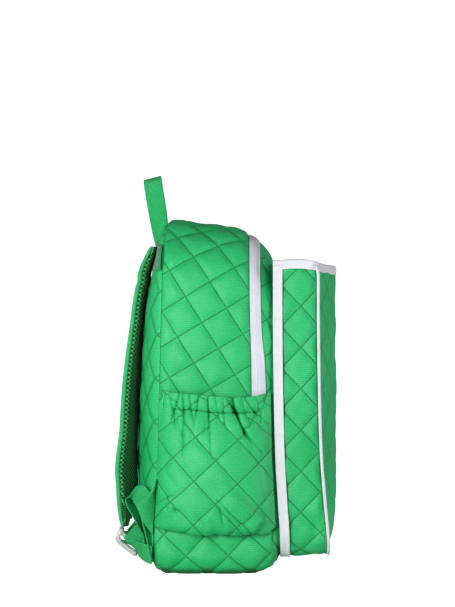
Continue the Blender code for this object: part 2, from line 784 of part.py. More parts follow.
def make_seam_binding(parent):
    """Tape over the seam between body and sleeve, a fit gap off both."""
    outer, inner = [], []
    for x, height in sleeve_edge_path():
        out = outward(x, height)
        middle = sleeve_back_y(height)
        for share in (-0.5, 0.5):
            y = middle + SEAM_BINDING_WIDTH * share
            foot = Vector((x, y, height)) + out * (FIT_GAP + BINDING_CLEAR)
            inner.append(foot)
            outer.append(foot + out * BINDING_THICKNESS)
    faces = grid_faces(len(outer) // 2, 2)
    return add_plate("sleeve_seam_binding", outer, inner, faces, "white_grosgrain", parent)


def make_piping(parent):
    """A round cord along the edge between the sleeve's sides and its front."""
    path = []
    for x, height in sleeve_edge_path():
        out = outward(x, height)
        place = Vector((x, piping_y(height), height))
        path.append(place + (out + Vector((0, -1, 0))).normalized() * (PIPING_DIAMETER / 2 + FIT_GAP))
    top = SLEEVE_MOUTH_HEIGHT - MOUTH_BINDING_HEIGHT - PIPING_BELOW_BINDING
    path[0].z = top
    path[-1].z = top
    curve = bpy.data.curves.new("sleeve_piping", "CURVE")
    curve.dimensions = "3D"
    curve.bevel_depth = PIPING_DIAMETER / 2
    curve.bevel_resolution = 1
    curve.use_fill_caps = True
    spline = curve.splines.new("POLY")
    spline.points.add(len(path) - 1)
    for point, place in zip(spline.points, path):
        point.co = (*place, 1)
    curve.materials.append(material_named("white_grosgrain"))
    made = bpy.data.objects.new("sleeve_piping", curve)
    bpy.context.collection.objects.link(made)
    made.parent = parent
    return made


def make_mouth_binding(parent):
    """Tape folded over the sleeve's mouth: an upside-down channel along its sides and front."""
    mouth = sleeve_rows()[-1]
    half, height, _ = mouth
    line = []
    back, front = sleeve_back_y(height), piping_y(height)
    for share in MOUTH_STEPS:
        line.append(Vector((-half, back - SEAM_BINDING_WIDTH / 2 + (front - back) * share, height)))
    for c in range(SLEEVE_COLUMNS + 1):
        line.append(sleeve_front(2 * c / SLEEVE_COLUMNS - 1, mouth))
    for share in reversed(MOUTH_STEPS):
        line.append(Vector((half, back - SEAM_BINDING_WIDTH / 2 + (front - back) * share, height)))
    reach = MOUTH_BINDING_HEIGHT
    clear = FIT_GAP + BINDING_THICKNESS
    section = [
        (clear, -reach),
        (clear, clear),
        (-SLEEVE_WALL - clear, clear),
        (-SLEEVE_WALL - clear, -reach),
        (-SLEEVE_WALL - FIT_GAP, -reach),
        (-SLEEVE_WALL - FIT_GAP, FIT_GAP),
        (FIT_GAP, FIT_GAP),
        (FIT_GAP, -reach),
    ]
    points = []
    for place, out in zip(line, mitred_sides(line)):
        for off, up in section:
            points.append(place + out * off + Vector((0, 0, up)))
    count = len(section)
    faces = grid_faces(len(line), count, closed=True)
    last = (len(line) - 1) * count
    for first in (0, last):
        faces += [
            tuple(first + i for i in (0, 1, 6, 7)),
            tuple(first + i for i in (1, 2, 5, 6)),
            tuple(first + i for i in (2, 3, 4, 5)),
        ]
    return add_object("sleeve_mouth_binding", points, faces, "white_grosgrain", parent)


def gather_depth(place, up):
    """How far the cloth is drawn in by its gathers at a place along and up the pocket."""
    stitch = POCKET_TOP_HEIGHT - POCKET_HEM
    below = max(0.0, stitch - up)
    above = max(0.0, up - stitch)
    total = 0.0
    for gather in GATHERS:
        reach = GATHER_REACH * gather.reach
        fade = math.exp(-((below / reach) ** 2)) * math.exp(-((above / POCKET_HEM) ** 2))
        total += gather.depth * fade * math.exp(-(((place - gather.place) / GATHER_SHARE) ** 2))
    return GATHER_DEPTH * total


def make_side_pocket(side, sign, parent):
    outer, inner = [], []
    rows = len(POCKET_ROWS)
    span = POCKET_TOP_HEIGHT - POCKET_BASE_HEIGHT
    for row in POCKET_ROWS:
        for c in range(POCKET_COLUMNS + 1):
            place = c / POCKET_COLUMNS
            height = POCKET_BASE_HEIGHT + span * row.height - POCKET_OVERHANG * row.drop * edge_ease(place)
            height -= hem_dip(place) * max(0.0, (row.height - POCKET_SAG_START) / (1 - POCKET_SAG_START))
            depth = POCKET_BACK_SHARE + (POCKET_FRONT_SHARE - POCKET_BACK_SHARE) * place
            base_x = body_half_width(depth, height) + POCKET_CLEAR
            bulge = POCKET_BULGE * row.bulge * edge_ease(place)
            bulge = max(0.0, bulge - gather_depth(place, height) * edge_ease(place))
            y = body_y(depth, height)
            inner.append(Vector((sign * (base_x + bulge), y, height)))
    columns = POCKET_COLUMNS + 1
    for i, place in enumerate(inner):
        r, c = divmod(i, columns)
        up = inner[min(r + 1, rows - 1) * columns + c] - inner[max(r - 1, 0) * columns + c]
        along = inner[r * columns + min(c + 1, columns - 1)] - inner[r * columns + max(c - 1, 0)]
        outer.append(place + along.cross(up).normalized() * POCKET_WALL * -sign)
    faces = grid_faces(rows, columns)
    return add_plate(f"side_pocket_{side}", outer, inner, faces, "quilted_nylon", parent)


def edge_ease(place):
    """Brings the pocket's bulge down to its side seams along a full curve."""
    return max(0.0, 1 - abs(2 * place - 1) ** POCKET_ROUNDNESS)


def hem_dip(place):
    """How far the gathered hem sags between the pocket's side seams."""
    return POCKET_SAG * (1 - (2 * place - 1) ** 2)


def ribbon_faces(count, sides):
    """Faces of a ribbon from its rings of points, split along the same diagonals on its two sides."""
    faces = []
    for a, b, c, d in grid_faces(count, sides, closed=True):
        if a % sides < sides // 2:
            faces += [(a, b, c), (a, c, d)]
        else:
            faces += [(a, b, d), (b, c, d)]
    faces.append(tuple(range(sides)))
    faces.append(tuple((count - 1) * sides + i for i in range(sides)))
    return faces


def ribbon_points(path, widths, ways, thickness):
    """A flat ribbon's four edges along a path, with the way its width points at each place."""
    points = []
    for place, width, way, along in zip(path, widths, ways, path_frames(path)):
        flat = (way - along * way.dot(along)).normalized()
        normal = along.cross(flat).normalized()
        for a, b in ((-0.5, -0.5), (0.5, -0.5), (0.5, 0.5), (-0.5, 0.5)):
            points.append(place + flat * width * a + normal * thickness * b)
    return points


def sampled(rows, steps):
    """Reads a table along a smooth curve through its rows, in even steps from row to row."""
    numbered = namedtuple("Numbered", ("step",) + rows[0]._fields)
    listed = [numbered(i, *row) for i, row in enumerate(rows)]
    last = len(rows) - 1
    made = []
    for i in range(steps + 1):
        at = last * i / steps
        made.append(type(rows[0])(*(table_value(listed, field, at) for field in rows[0]._fields)))
    return made


def make_haul_loop(parent):
    """Webbing whose two ends are sewn to the top of the back panel."""
    sewn = BODY_HEIGHT - LOOP_SEWN
    foot = back_surface(0.0, sewn, BODY_WIDTH / 2)[0] + FIT_GAP + LOOP_THICKNESS
    half = sampled(LOOP_ROWS, LOOP_STEPS)
    path, ways = [], []
    for row, side in [(row, -1) for row in half] + [(row, 1) for row in reversed(half[:-1])]:
        y = foot + LOOP_LEAN * row.lean
        path.append(Vector((side * LOOP_SPAN / 2 * row.across, y, sewn + LOOP_RISE * row.rise)))
        turn = math.radians(row.turn)
        ways.append(Vector((-side * math.cos(turn), math.sin(turn), 0)))
    points = ribbon_points(path, [LOOP_WEBBING] * len(path), ways, LOOP_THICKNESS)
    return add_object("haul_loop", points, ribbon_faces(len(path), 4), "green_webbing", parent)


def strap_seat(x, height):
    """The surface that a strap lies on: the back panel, or the yoke where it covers it."""
    seat = back_surface(x, height, body_half_width(0.0, height))[0] + STRAP_CLEAR
    yoke_low = BODY_HEIGHT - YOKE_BELOW_TOP - YOKE_HEIGHT
    if height > yoke_low - YOKE_LEAD:
        seat += YOKE_WALL + YOKE_GAP + FIT_GAP
    return seat


def strap_frame(row, sign):
    """The strap's outer edge, the way its width runs towards the spine, the way out of its face, its width."""
    tilt = math.radians(row.tilt)
    width = STRAP_WIDTH * row.width
    height = (BODY_HEIGHT - STRAP_BELOW_TOP) * row.height
    inner_x = STRAP_SPREAD * row.spread - width / 2 * math.cos(tilt)
    thick = (STRAP_THICKNESS + STRAP_MESH) * row.thick + STRAP_CLEAR
    y = strap_seat(inner_x, height) + STRAP_LIFT * row.lift + thick + width * math.sin(tilt)
    edge = Vector((sign * (inner_x + width * math.cos(tilt)), y, height))
    way = Vector((-sign * math.cos(tilt), -math.sin(tilt), 0))
    out = Vector((-sign * math.sin(tilt), math.cos(tilt), 0))
    return edge, way, out, width


def pad_section(width, thick):
    """A pad's section with round edges, from its outer edge inwards; depth runs in from the outer face."""
    near = [(row.inward * thick, row.deep * thick) for row in PAD_EDGE]
    far = [(width - across, deep) for across, deep in reversed(near)]
    under = thick * PAD_UNDER_SHARE
    return near + far + [(width - under, thick), (width / 2, thick), (under, thick)]


def mesh_section(width, margin, start, thick):
    """The spacer mesh's section, behind the pad."""
    near = [(row.inward * margin, start + row.deep * thick) for row in MESH_EDGE]
    far = [(width - across, deep) for across, deep in near]
    return [near[0], (width / 2, start), *far, (width / 2, start + thick), near[2], near[1]]


def make_strap(side, sign, parent):
    pad, mesh = [], []
    rows = sampled(STRAP_ROWS, STRAP_STEPS)
    for row in rows:
        edge, way, out, width = strap_frame(row, sign)
        thick = STRAP_THICKNESS * row.thick
        for across, deep in pad_section(width, thick):
            pad.append(edge + way * across - out * deep)
        margin = (STRAP_WIDTH - STRAP_MESH_WIDTH) / 2 * row.width
        for across, deep in mesh_section(width, margin, thick + STRAP_CLEAR, STRAP_MESH * row.thick):
            mesh.append(edge + way * across - out * deep)
    pad_sides, mesh_sides = len(pad) // len(rows), len(mesh) // len(rows)
    add_object(f"strap_{side}", pad, ribbon_faces(len(rows), pad_sides), "quilted_nylon", parent)
    add_object(f"strap_mesh_{side}", mesh, ribbon_faces(len(rows), mesh_sides), "spacer_mesh", parent)


def buckle_place(sign):
    """The buckle's middle, just below the strap's lower end."""
    edge, way, out, width = strap_frame(STRAP_ROWS[-1], sign)
    end = edge + way * width / 2 - out * STRAP_THICKNESS * STRAP_ROWS[-1].thick / 2
    return Vector((end.x, end.y, end.z - BUCKLE_BELOW_STRAP))


def make_buckle(side, sign, parent):
    """A bent ladder-lock frame with three cross bars."""
    centre = buckle_place(sign)
    half = WEBBING_WIDTH / 2 + BUCKLE_BAR + BUCKLE_SLACK / 2
    line = [Vector((0, row.back, row.up)) * BUCKLE_LENGTH for row in BUCKLE_ROWS]
    parts = []
    for x in (-half + BUCKLE_BAR / 2, half - BUCKLE_BAR / 2):
        path = [centre + Vector((x, 0, 0)) + place for place in line]
        ways = [Vector((1, 0, 0))] * len(path)
        points = ribbon_points(path, [BUCKLE_BAR] * len(path), ways, BUCKLE_BAR * BUCKLE_ARM_SHARE)
        parts.append((points, ribbon_faces(len(path), 4)))
    for place in (line[0], line[1].lerp(line[2], 0.5), line[3]):
        reach = Vector((half - BUCKLE_BAR / 3, 0, 0))
        ends = [centre + place - reach, centre + place + reach]
        ways = [Vector((0, 1, BUCKLE_BAR_TILT))] * 2
        points = ribbon_points(ends, [BUCKLE_BAR] * 2, ways, BUCKLE_BAR * BUCKLE_CROSS_SHARE)
        parts.append((points, ribbon_faces(2, 4)))
    name = f"buckle_{side}"
    frame = add_object(name, *parts[0], "clear_acetal", parent)
    for i, (points, faces) in enumerate(parts[1:]):
        other = add_object(f"{name}_join_{i}", points, faces, "clear_acetal", parent)
        other.hide_render = True
        other.display_type = "WIRE"
        join = frame.modifiers.new(f"join_{i}", "BOOLEAN")
        join.operation = "UNION"
        join.object = other
    return frame


def make_lower_web(side, sign, parent):
    """Webbing from the body's lower back corner to the buckle's middle bar, turning as it goes."""
    centre = buckle_place(sign)
    corner_x = body_half_width(0.0, WEB_CORNER + WEBBING_WIDTH / 2) + WEBBING_THICKNESS + FIT_GAP
    corner = Vector((sign * corner_x, body_y(0.0, WEB_CORNER) + WEB_CLEAR, WEB_CORNER))
    end = centre - Vector((0, WEB_END_BACK, WEB_END_DOWN))
    path, ways = [], []
    for row in sampled(WEB_ROWS, WEB_STEPS):
        path.append(corner.lerp(end, row.along) + Vector((sign * row.out, row.back, 0)) * WEB_BOW)
        ways.append(Vector((sign * row.face_out, row.face_back, row.face_up)))
    points = ribbon_points(path, [WEBBING_WIDTH] * len(path), ways, WEBBING_THICKNESS)
    return add_object(f"lower_web_{side}", points, ribbon_faces(len(path), 4), "green_webbing", parent)


def make_web_tail(side, sign, parent):
    centre = buckle_place(sign)
    path, ways = [], []
    for row in sampled(TAIL_ROWS, TAIL_STEPS):
        path.append(centre + Vector((sign * row.out, row.back, row.up)) * TAIL_LOOP)
        ways.append(Vector((sign * row.face_out, row.face_back, row.face_up)))
    points = ribbon_points(path, [WEBBING_WIDTH] * len(path), ways, WEBBING_THICKNESS)
    return add_object(f"web_tail_{side}", points, ribbon_faces(len(path), 4), "green_webbing", parent)


def make_anchor_tab(side, sign, parent):
    """A tab of cloth sewn into the lower back seam, beside the webbing."""
    outer, inner = [], []
    for row in TAB_ROWS:
        height = TAB_BASE_HEIGHT + TAB_HEIGHT * row.height
        x = sign * (body_half_width(0.0, height) + TAB_CLEAR)
        y = body_y(0.0, height) + TAB_CLEAR
        for share in (0.0, 0.5, 1.0):
            place = Vector((x, y + TAB_REACH * row.reach * share, height))
            inner.append(place)
            outer.append(place + Vector((sign * TAB_THICKNESS, 0, 0)))
    faces = grid_faces(len(TAB_ROWS), 3)
    return add_plate(f"anchor_tab_{side}", outer, inner, faces, "quilted_nylon", parent)


def main():
    clear_scene()
    bag = bpy.data.objects.new("backpack", None)
    bpy.context.collection.objects.link(bag)
    make_main_shell(bag)
    make_back_panel(bag)
    make_strap_yoke(bag)
    make_zip(bag)
    make_zip_slider(bag)
    make_front_sleeve(bag)
    make_seam_binding(bag)
    make_piping(bag)
    make_mouth_binding(bag)
    make_haul_loop(bag)
    for side, sign in SIDES:
        make_side_pocket(side, sign, bag)
        make_strap(side, sign, bag)
        make_buckle(side, sign, bag)
        make_lower_web(side, sign, bag)
        make_web_tail(side, sign, bag)
        make_anchor_tab(side, sign, bag)


main()
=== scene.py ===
import math

import bpy
import numpy as np
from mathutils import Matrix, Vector


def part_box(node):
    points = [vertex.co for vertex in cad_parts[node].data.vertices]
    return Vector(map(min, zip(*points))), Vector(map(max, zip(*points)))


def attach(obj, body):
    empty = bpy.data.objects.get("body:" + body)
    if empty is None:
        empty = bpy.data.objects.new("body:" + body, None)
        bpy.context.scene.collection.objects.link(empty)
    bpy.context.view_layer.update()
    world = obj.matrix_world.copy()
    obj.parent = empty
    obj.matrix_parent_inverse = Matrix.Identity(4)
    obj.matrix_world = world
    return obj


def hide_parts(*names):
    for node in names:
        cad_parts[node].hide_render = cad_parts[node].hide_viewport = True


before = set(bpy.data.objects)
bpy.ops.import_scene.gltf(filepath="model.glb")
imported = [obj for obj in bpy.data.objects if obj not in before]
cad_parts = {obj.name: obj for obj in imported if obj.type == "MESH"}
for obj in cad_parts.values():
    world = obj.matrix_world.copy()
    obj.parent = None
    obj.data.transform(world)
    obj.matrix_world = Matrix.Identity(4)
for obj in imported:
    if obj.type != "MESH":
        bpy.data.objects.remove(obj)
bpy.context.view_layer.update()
print("frame loaded:", len(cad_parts), "nodes")


# Colours and nodes.

def linearColour(hexCode):
    channels = [int(hexCode[i : i + 2], 16) / 255 for i in (0, 2, 4)]
    return (*[c / 12.92 if c <= 0.04045 else ((c + 0.055) / 1.055) ** 2.4 for c in channels], 1.0)


def connect(tree, node, links):
    # a link comes from a socket, or from a node's first socket in use
    for name, source in links.items():
        if isinstance(source, bpy.types.Node):
            source = next(socket for socket in source.outputs if socket.enabled)
        tree.links.new(source, node.inputs[name])
    return node


def setInput(node, name, value):
    # a value given as text is a hex colour
    node.inputs[name].default_value = linearColour(value) if isinstance(value, str) else value


def addNode(tree, kind, settings, links=None):
    # settings go to the node's own fields, or else to its inputs
    node = tree.nodes.new("ShaderNode" + kind)
    for name, value in settings.items():
        if isinstance(name, str) and hasattr(node, name):
            setattr(node, name, value)
        else:
            setInput(node, name, value)
    return connect(tree, node, links or {})


def newMaterial(name, settings):
    made = bpy.data.materials.new(name)
    made.use_nodes = True
    shader = made.node_tree.nodes["Principled BSDF"]
    for name, value in settings.items():
        setInput(shader, name, value)
    return made, made.node_tree, shader


dye = {"patches": 9.0, "flecks": 420.0, "fleckShare": 0.9}  # per metre of cloth


def clothColour(tree, place, light, deep):
    # slow patches of light and deep dye, and a fine fleck of the threads
    slow = {"Scale": dye["patches"], "Detail": 3.0, "Roughness": 0.55}
    patches = addNode(tree, "TexNoise", slow, {"Vector": place})
    fleck = addNode(tree, "TexNoise", {"Scale": dye["flecks"], "Detail": 2.0}, {"Vector": place})
    both = addNode(tree, "Math", {"operation": "MULTIPLY_ADD", 1: dye["fleckShare"]}, {0: fleck, 2: patches})
    level = addNode(tree, "MapRange", {"From Min": 0.55, "From Max": 1.35}, {"Value": both})
    return addNode(tree, "Mix", {"data_type": "RGBA", 6: deep, 7: light}, {0: level})


def ribWaves(tree, place, spacing, across="Y"):
    # ridges of thread, one every spacing along the cloth
    parts = addNode(tree, "SeparateXYZ", {}, {0: place})
    turns = 2 * math.pi / spacing
    phase = addNode(tree, "Math", {"operation": "MULTIPLY", 1: turns}, {0: parts.outputs[across]})
    return addNode(tree, "Math", {"operation": "SINE"}, {0: phase})


# Quilted polyester oxford, woven and stitched in diamonds over wadding: matte, with fine ribs across it and
# dimpled lines where the stitching pulls it down; the dimples, close folds and seams carry painted shade.
quiltedCloth = {
    "light": "42c683",
    "deep": "10a45c",
    # painted shade of the dimples along the stitch lines
    "creaseDipAndShade": "0a7a3d",
    "thread": "24a35c",
    # painted shade in close folds and seams, and how far it reaches
    "fold": "07743a",
    "foldReach": 0.010,
    "roughness": 0.62,
    "specular": 0.55,
    "ribs": 0.0026,  # real ribs are 0.5 mm, drawn coarser so that they show
    "stitch": 0.0034,
    "stitchShare": 0.74,
    "lineWidth": 0.00062,
    "wrinkles": 120.0,  # per metre
    "relief": 0.0007,
}


def makeQuiltedCloth():
    look = quiltedCloth
    width = look["lineWidth"]
    settings = {"Roughness": look["roughness"], "Specular IOR Level": look["specular"]}
    made, tree, shader = newMaterial("quiltedOxford", settings)
    cloth = addNode(tree, "UVMap", {"uv_map": "cloth"})
    quilt = addNode(tree, "UVMap", {"uv_map": "quilt"})
    dyed = clothColour(tree, cloth, look["light"], look["deep"])
    ribs = ribWaves(tree, cloth, look["ribs"])
    weave = addNode(tree, "MapRange", {"From Min": -1.0, "To Min": 0.45}, {"Value": ribs})
    colour = addNode(tree, "Mix", {"data_type": "RGBA", 6: look["deep"]}, {0: weave, 7: dyed})
    # distance to the nearest stitch line of each family, in diamonds, then in metres
    parts = addNode(tree, "SeparateXYZ", {}, {0: quilt})
    away = []
    stitches = []
    for mine, other in ((0, 1), (1, 0)):
        near = addNode(tree, "Math", {"operation": "PINGPONG", 1: 0.5}, {0: parts.outputs[mine]})
        far = addNode(tree, "Math", {"operation": "MULTIPLY", 1: diamond["side"]}, {0: near})
        stitchCount = diamond["side"] / look["stitch"]
        along = addNode(tree, "Math", {"operation": "MULTIPLY", 1: stitchCount}, {0: parts.outputs[other]})
        step = addNode(tree, "Math", {"operation": "FRACT"}, {0: along})
        inStitch = addNode(tree, "Math", {"operation": "LESS_THAN", 1: look["stitchShare"]}, {0: step})
        onLine = addNode(tree, "Math", {"operation": "LESS_THAN", 1: width * 0.45}, {0: far})
        away.append(far)
        stitches.append(addNode(tree, "Math", {"operation": "MULTIPLY"}, {0: inStitch, 1: onLine}))
    nearest = addNode(tree, "Math", {"operation": "MINIMUM"}, dict(enumerate(away)))
    edges = {"interpolation_type": "SMOOTHSTEP", "From Min": width * 0.3, "From Max": width * 2.1}
    creaseDipAndShade = addNode(tree, "MapRange", edges, {"Value": nearest})
    thread = addNode(tree, "Math", {"operation": "MAXIMUM"}, dict(enumerate(stitches)))
    # painted shade: the cloth beside each stitch line takes the dark crease colour, as the dimple's shade
    lined = addNode(tree, "Mix", {"data_type": "RGBA", 6: look["creaseDipAndShade"]}, {0: creaseDipAndShade, 7: colour})
    sewn = addNode(tree, "Mix", {"data_type": "RGBA", 7: look["thread"]}, {0: thread, 6: lined})
    # painted shade: where close folds and seams would keep the light out, the cloth is painted deep green
    hollow = addNode(tree, "AmbientOcclusion", {"Distance": look["foldReach"], "samples": 6})
    lit = addNode(tree, "MapRange", {"From Min": 0.30, "From Max": 0.85}, {"Value": hollow.outputs["AO"]})
    shaded = addNode(tree, "Mix", {"data_type": "RGBA", 6: look["fold"]}, {0: lit, 7: sewn})
    fine = addNode(tree, "Math", {"operation": "MULTIPLY", 1: 0.06}, {0: ribs})
    wrinkle = addNode(tree, "TexNoise", {"Scale": look["wrinkles"], "Detail": 3.0}, {"Vector": cloth})
    soft = addNode(tree, "Math", {"operation": "MULTIPLY_ADD", 1: 0.5}, {0: wrinkle, 2: fine})
    dipped = addNode(tree, "Math", {"operation": "ADD"}, {0: soft, 1: creaseDipAndShade})
    height = addNode(tree, "Math", {"operation": "MULTIPLY_ADD", 1: 0.5}, {0: thread, 2: dipped})
    bump = addNode(tree, "Bump", {"Strength": 0.6, "Distance": look["relief"]}, {"Height": height})
    connect(tree, shader, {"Base Color": shaded, "Normal": bump})
    return made


# Woven narrow fabrics with close raised ribs across the band.
webbings = {  # light and deep dye, rib, roughness, sheen, and how far the gaps between ribs darken
    "nylonWebbing": ("4ecb86", "26a860", 0.0016, 0.5, 0.0, 0.35),  # firm and even, with dark gaps
    "greenEdgeTape": ("55d68c", "2cb468", 0.0012, 0.5, 0.2, 0.15),  # thin, a light rim round the straps
    "yokeWebbing": ("3fa873", "2a8a59", 0.0018, 0.5, 0.2, 0.35),  # coarse, duller than the cloth
    "whiteGrosgrain": ("fafaff", "eceef6", 0.0013, 0.6, 0.0, 0.05),  # matte white, ribs that barely show
    "whiteZipTape": ("f8f8ff", "e6e9f6", 0.0012, 0.5, 0.0, 0.05),  # white with a blue cast in its ribs
}


def makeWebbing(name):
    light, deep, rib, roughness, sheen, gap = webbings[name]
    settings = {"Roughness": roughness, "Sheen Weight": sheen, "Specular IOR Level": 0.3}
    made, tree, shader = newMaterial(name, settings)
    cloth = addNode(tree, "UVMap", {"uv_map": "cloth"})
    colour = clothColour(tree, cloth, light, deep)
    ribs = ribWaves(tree, cloth, rib)
    levels = {"From Min": -1.0, "From Max": 0.4, "To Min": 1 - gap}
    shade = addNode(tree, "MapRange", levels, {"Value": ribs})
    darker = addNode(tree, "Mix", {"data_type": "RGBA", 6: deep}, {0: shade, 7: colour})
    weft = ribWaves(tree, cloth, rib * 0.8, "X")
    woven = addNode(tree, "Math", {"operation": "MULTIPLY_ADD", 1: 0.35}, {0: weft, 2: ribs})
    bump = addNode(tree, "Bump", {"Strength": 0.7, "Distance": 0.0005}, {"Height": woven})
    connect(tree, shader, {"Base Color": darker, "Normal": bump})
    return made


# Knitted polyester spacer mesh: open faces held apart by pile, with staggered holes between light yarns,
# painted near-black as the shade inside the knit.
spacerMesh = {
    "yarn": "43b267",
    # painted shade seen through the holes
    "hole": "043a12",
    "pitch": 0.0058,  # real holes are half as wide, drawn coarser so that they show
    "across": 0.70,  # and stretched across, since the face is only seen edge-on
    "hold": 0.30,
    "relief": 0.0012,
}


def makeSpacerMesh():
    settings = {"Roughness": 0.75, "Sheen Weight": 0.3, "Specular IOR Level": 0.2}
    made, tree, shader = newMaterial("spacerMeshKnit", settings)
    cloth = addNode(tree, "UVMap", {"uv_map": "cloth"})
    u, v, _ = addNode(tree, "SeparateXYZ", {}, {0: cloth}).outputs
    waves = []
    for lean in (spacerMesh["across"], -spacerMesh["across"]):
        tilt = addNode(tree, "Math", {"operation": "MULTIPLY_ADD", 1: lean}, {0: u, 2: v})
        turns = math.pi / spacerMesh["pitch"]
        phase = addNode(tree, "Math", {"operation": "MULTIPLY", 1: turns}, {0: tilt})
        wave = addNode(tree, "Math", {"operation": "SINE"}, {0: phase})
        waves.append(addNode(tree, "Math", {"operation": "ABSOLUTE"}, {0: wave}))
    cross = addNode(tree, "Math", {"operation": "MULTIPLY"}, dict(enumerate(waves)))
    low, high = spacerMesh["hold"] * 0.6, spacerMesh["hold"] * 1.5
    edges = {"interpolation_type": "SMOOTHSTEP", "From Min": low, "From Max": high}
    hole = addNode(tree, "MapRange", edges, {"Value": cross})
    # painted shade: the holes take the near-black hole colour
    yarnAndHoleShade = {"data_type": "RGBA", 6: spacerMesh["yarn"], 7: spacerMesh["hole"]}
    colour = addNode(tree, "Mix", yarnAndHoleShade, {0: hole})
    sunk = addNode(tree, "Math", {"operation": "SUBTRACT", 0: 1.0}, {1: hole})
    bump = addNode(tree, "Bump", {"Strength": 1.0, "Distance": spacerMesh["relief"]}, {"Height": sunk})
    connect(tree, shader, {"Base Color": colour, "Normal": bump})
    return made


def makeAcetal():
    # Clear acetal, injection moulded: milky, with a soft gloss and light passing through its bars.
    settings = {"Roughness": 0.32, "IOR": 1.48, "Transmission Weight": 0.45, "Base Color": "dfe6e0"}
    made, tree, shader = newMaterial("clearAcetal", settings)
    flow = addNode(tree, "TexCoord", {})
    haze = addNode(tree, "TexNoise", {"Scale": 140.0, "Detail": 2.0}, {"Vector": flow.outputs["Object"]})
    rough = addNode(tree, "MapRange", {"To Min": 0.26, "To Max": 0.42}, {"Value": haze})
    connect(tree, shader, {"Roughness": rough})
    return made


def makeNickel():
    # Nickel plate on die-cast zinc: bright, slightly warm, fine tumbling marks.
    settings = {"Metallic": 1.0, "Roughness": 0.28, "Base Color": "cfcac2"}
    made, tree, shader = newMaterial("nickelPlate", settings)
    flow = addNode(tree, "TexCoord", {})
    marks = addNode(tree, "TexNoise", {"Scale": 900.0, "Detail": 3.0}, {"Vector": flow.outputs["Object"]})
    bump = addNode(tree, "Bump", {"Strength": 0.15, "Distance": 0.0002}, {"Height": marks})
    connect(tree, shader, {"Normal": bump})
    return made


# Shape helpers.

def curveThrough(rows, at, column=1):
    # a smooth line through a short table, which never overshoots its rows
    places = np.array([row[0] for row in rows], float)
    values = np.array([row[column] for row in rows], float)
    steps = np.diff(values) / np.diff(places)
    slopes = np.zeros(len(values))
    slopes[0], slopes[-1] = steps[0], steps[-1]
    before, after = steps[:-1], steps[1:]
    same = before * after > 0
    slopes[1:-1][same] = 2 * before[same] * after[same] / (before[same] + after[same])
    at = np.clip(np.asarray(at, float), places[0], places[-1])
    i = np.clip(np.searchsorted(places, at, side="right") - 1, 0, len(places) - 2)
    span = places[i + 1] - places[i]
    t = (at - places[i]) / span
    start = (2 * t**3 - 3 * t**2 + 1) * values[i] + (t**3 - 2 * t**2 + t) * span * slopes[i]
    return start + (3 * t**2 - 2 * t**3) * values[i + 1] + (t**3 - t**2) * span * slopes[i + 1]


def alongTable(rows, count):
    # each column of a table as a smooth line, in even steps from its first row to its last
    numbered = [(i, *row) for i, row in enumerate(rows)]
    at = np.linspace(0, len(rows) - 1, count)
    return [curveThrough(numbered, at, column + 1) for column in range(len(rows[0]))]


def ease(x, low, high):
    t = np.clip((x - low) / (high - low), 0, 1)
    return t * t * (3 - 2 * t)


def stacked(*parts):
    return np.stack(np.broadcast_arrays(*parts), -1)


def unit(ways):
    return ways / np.maximum(np.linalg.norm(ways, axis=-1, keepdims=True), 1e-12)


def raised(points, outward, height):
    # a surface moved along its normals, by height towards the side that outward points to
    normals = unit(np.cross(np.gradient(points, axis=1), np.gradient(points, axis=0)))
    facing = np.sum(normals * outward, axis=2, keepdims=True)
    return points + normals * np.where(facing < 0, -1, 1) * np.expand_dims(height, -1)


def softNoise(x, y, seed, size):
    # a slow, repeatable unevenness of the cloth, from a few crossing waves
    rng = np.random.default_rng(seed)
    total = 0.0
    for _ in range(7):
        angle, phase, stretch = rng.uniform(0, math.pi), rng.uniform(0, 2 * math.pi), rng.uniform(0.6, 1.7)
        wave = (x * math.cos(angle) + y * math.sin(angle)) * 2 * math.pi / (size * stretch)
        total = total + np.sin(wave + phase)
    return total / 7


def addObject(name, data):
    made = bpy.data.objects.new(name, data)
    bpy.context.scene.collection.objects.link(made)
    return made


def addMesh(name, points, faces, material, cloth=None, quilt=None, smooth=True):
    mesh = bpy.data.meshes.new(name)
    mesh.from_pydata(np.reshape(points, (-1, 3)).tolist(), [], [tuple(face) for face in faces])
    corners = np.concatenate([np.asarray(face) for face in faces])
    for layerName, place in (("cloth", cloth), ("quilt", quilt)):
        if place is not None:
            layer = mesh.uv_layers.new(name=layerName)
            layer.data.foreach_set("uv", np.asarray(place, np.float32).reshape(-1, 2)[corners].reshape(-1))
    if smooth:
        mesh.shade_smooth()
    mesh.materials.append(material)
    return addObject(name, mesh)


def gridFaces(rows, columns):
    start = np.arange(rows - 1)[:, None] * columns + np.arange(columns - 1)
    return np.stack([start, start + 1, start + columns + 1, start + columns], -1).reshape(-1, 4)


def gridPiece(name, points, material, cloth, quilt=None, wall=0.0, offset=-1.0):
    made = addMesh(name, points, gridFaces(*points.shape[:2]), material, cloth, quilt)
    skin = made.modifiers.new("wall", "SOLIDIFY")
    skin.thickness = wall
    skin.offset = offset
    return made


def tubeMesh(name, points, material, cloth, quilt=None, weld=True):
    # rings of points, each ending where it starts, with a cap on the first and the last
    rows, columns = points.shape[:2]
    faces = gridFaces(rows, columns).tolist()
    faces.append(list(range(columns - 1))[::-1])
    faces.append([(rows - 1) * columns + i for i in range(columns - 1)])
    made = addMesh(name, points, faces, material, cloth, quilt)
    if weld:
        made.modifiers.new("weld", "WELD").merge_threshold = 0.00002
    return made


def bridge(first, second, count):
    # quads between two closed rings, from the number of each one's first point
    pairs = [(c, (c + 1) % count) for c in range(count)]
    return [(first + c, first + d, second + d, second + c) for c, d in pairs]


def finishPiece(made, slotName, *nodes):
    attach(made, "root")
    if nodes:
        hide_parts(*nodes)
    return made


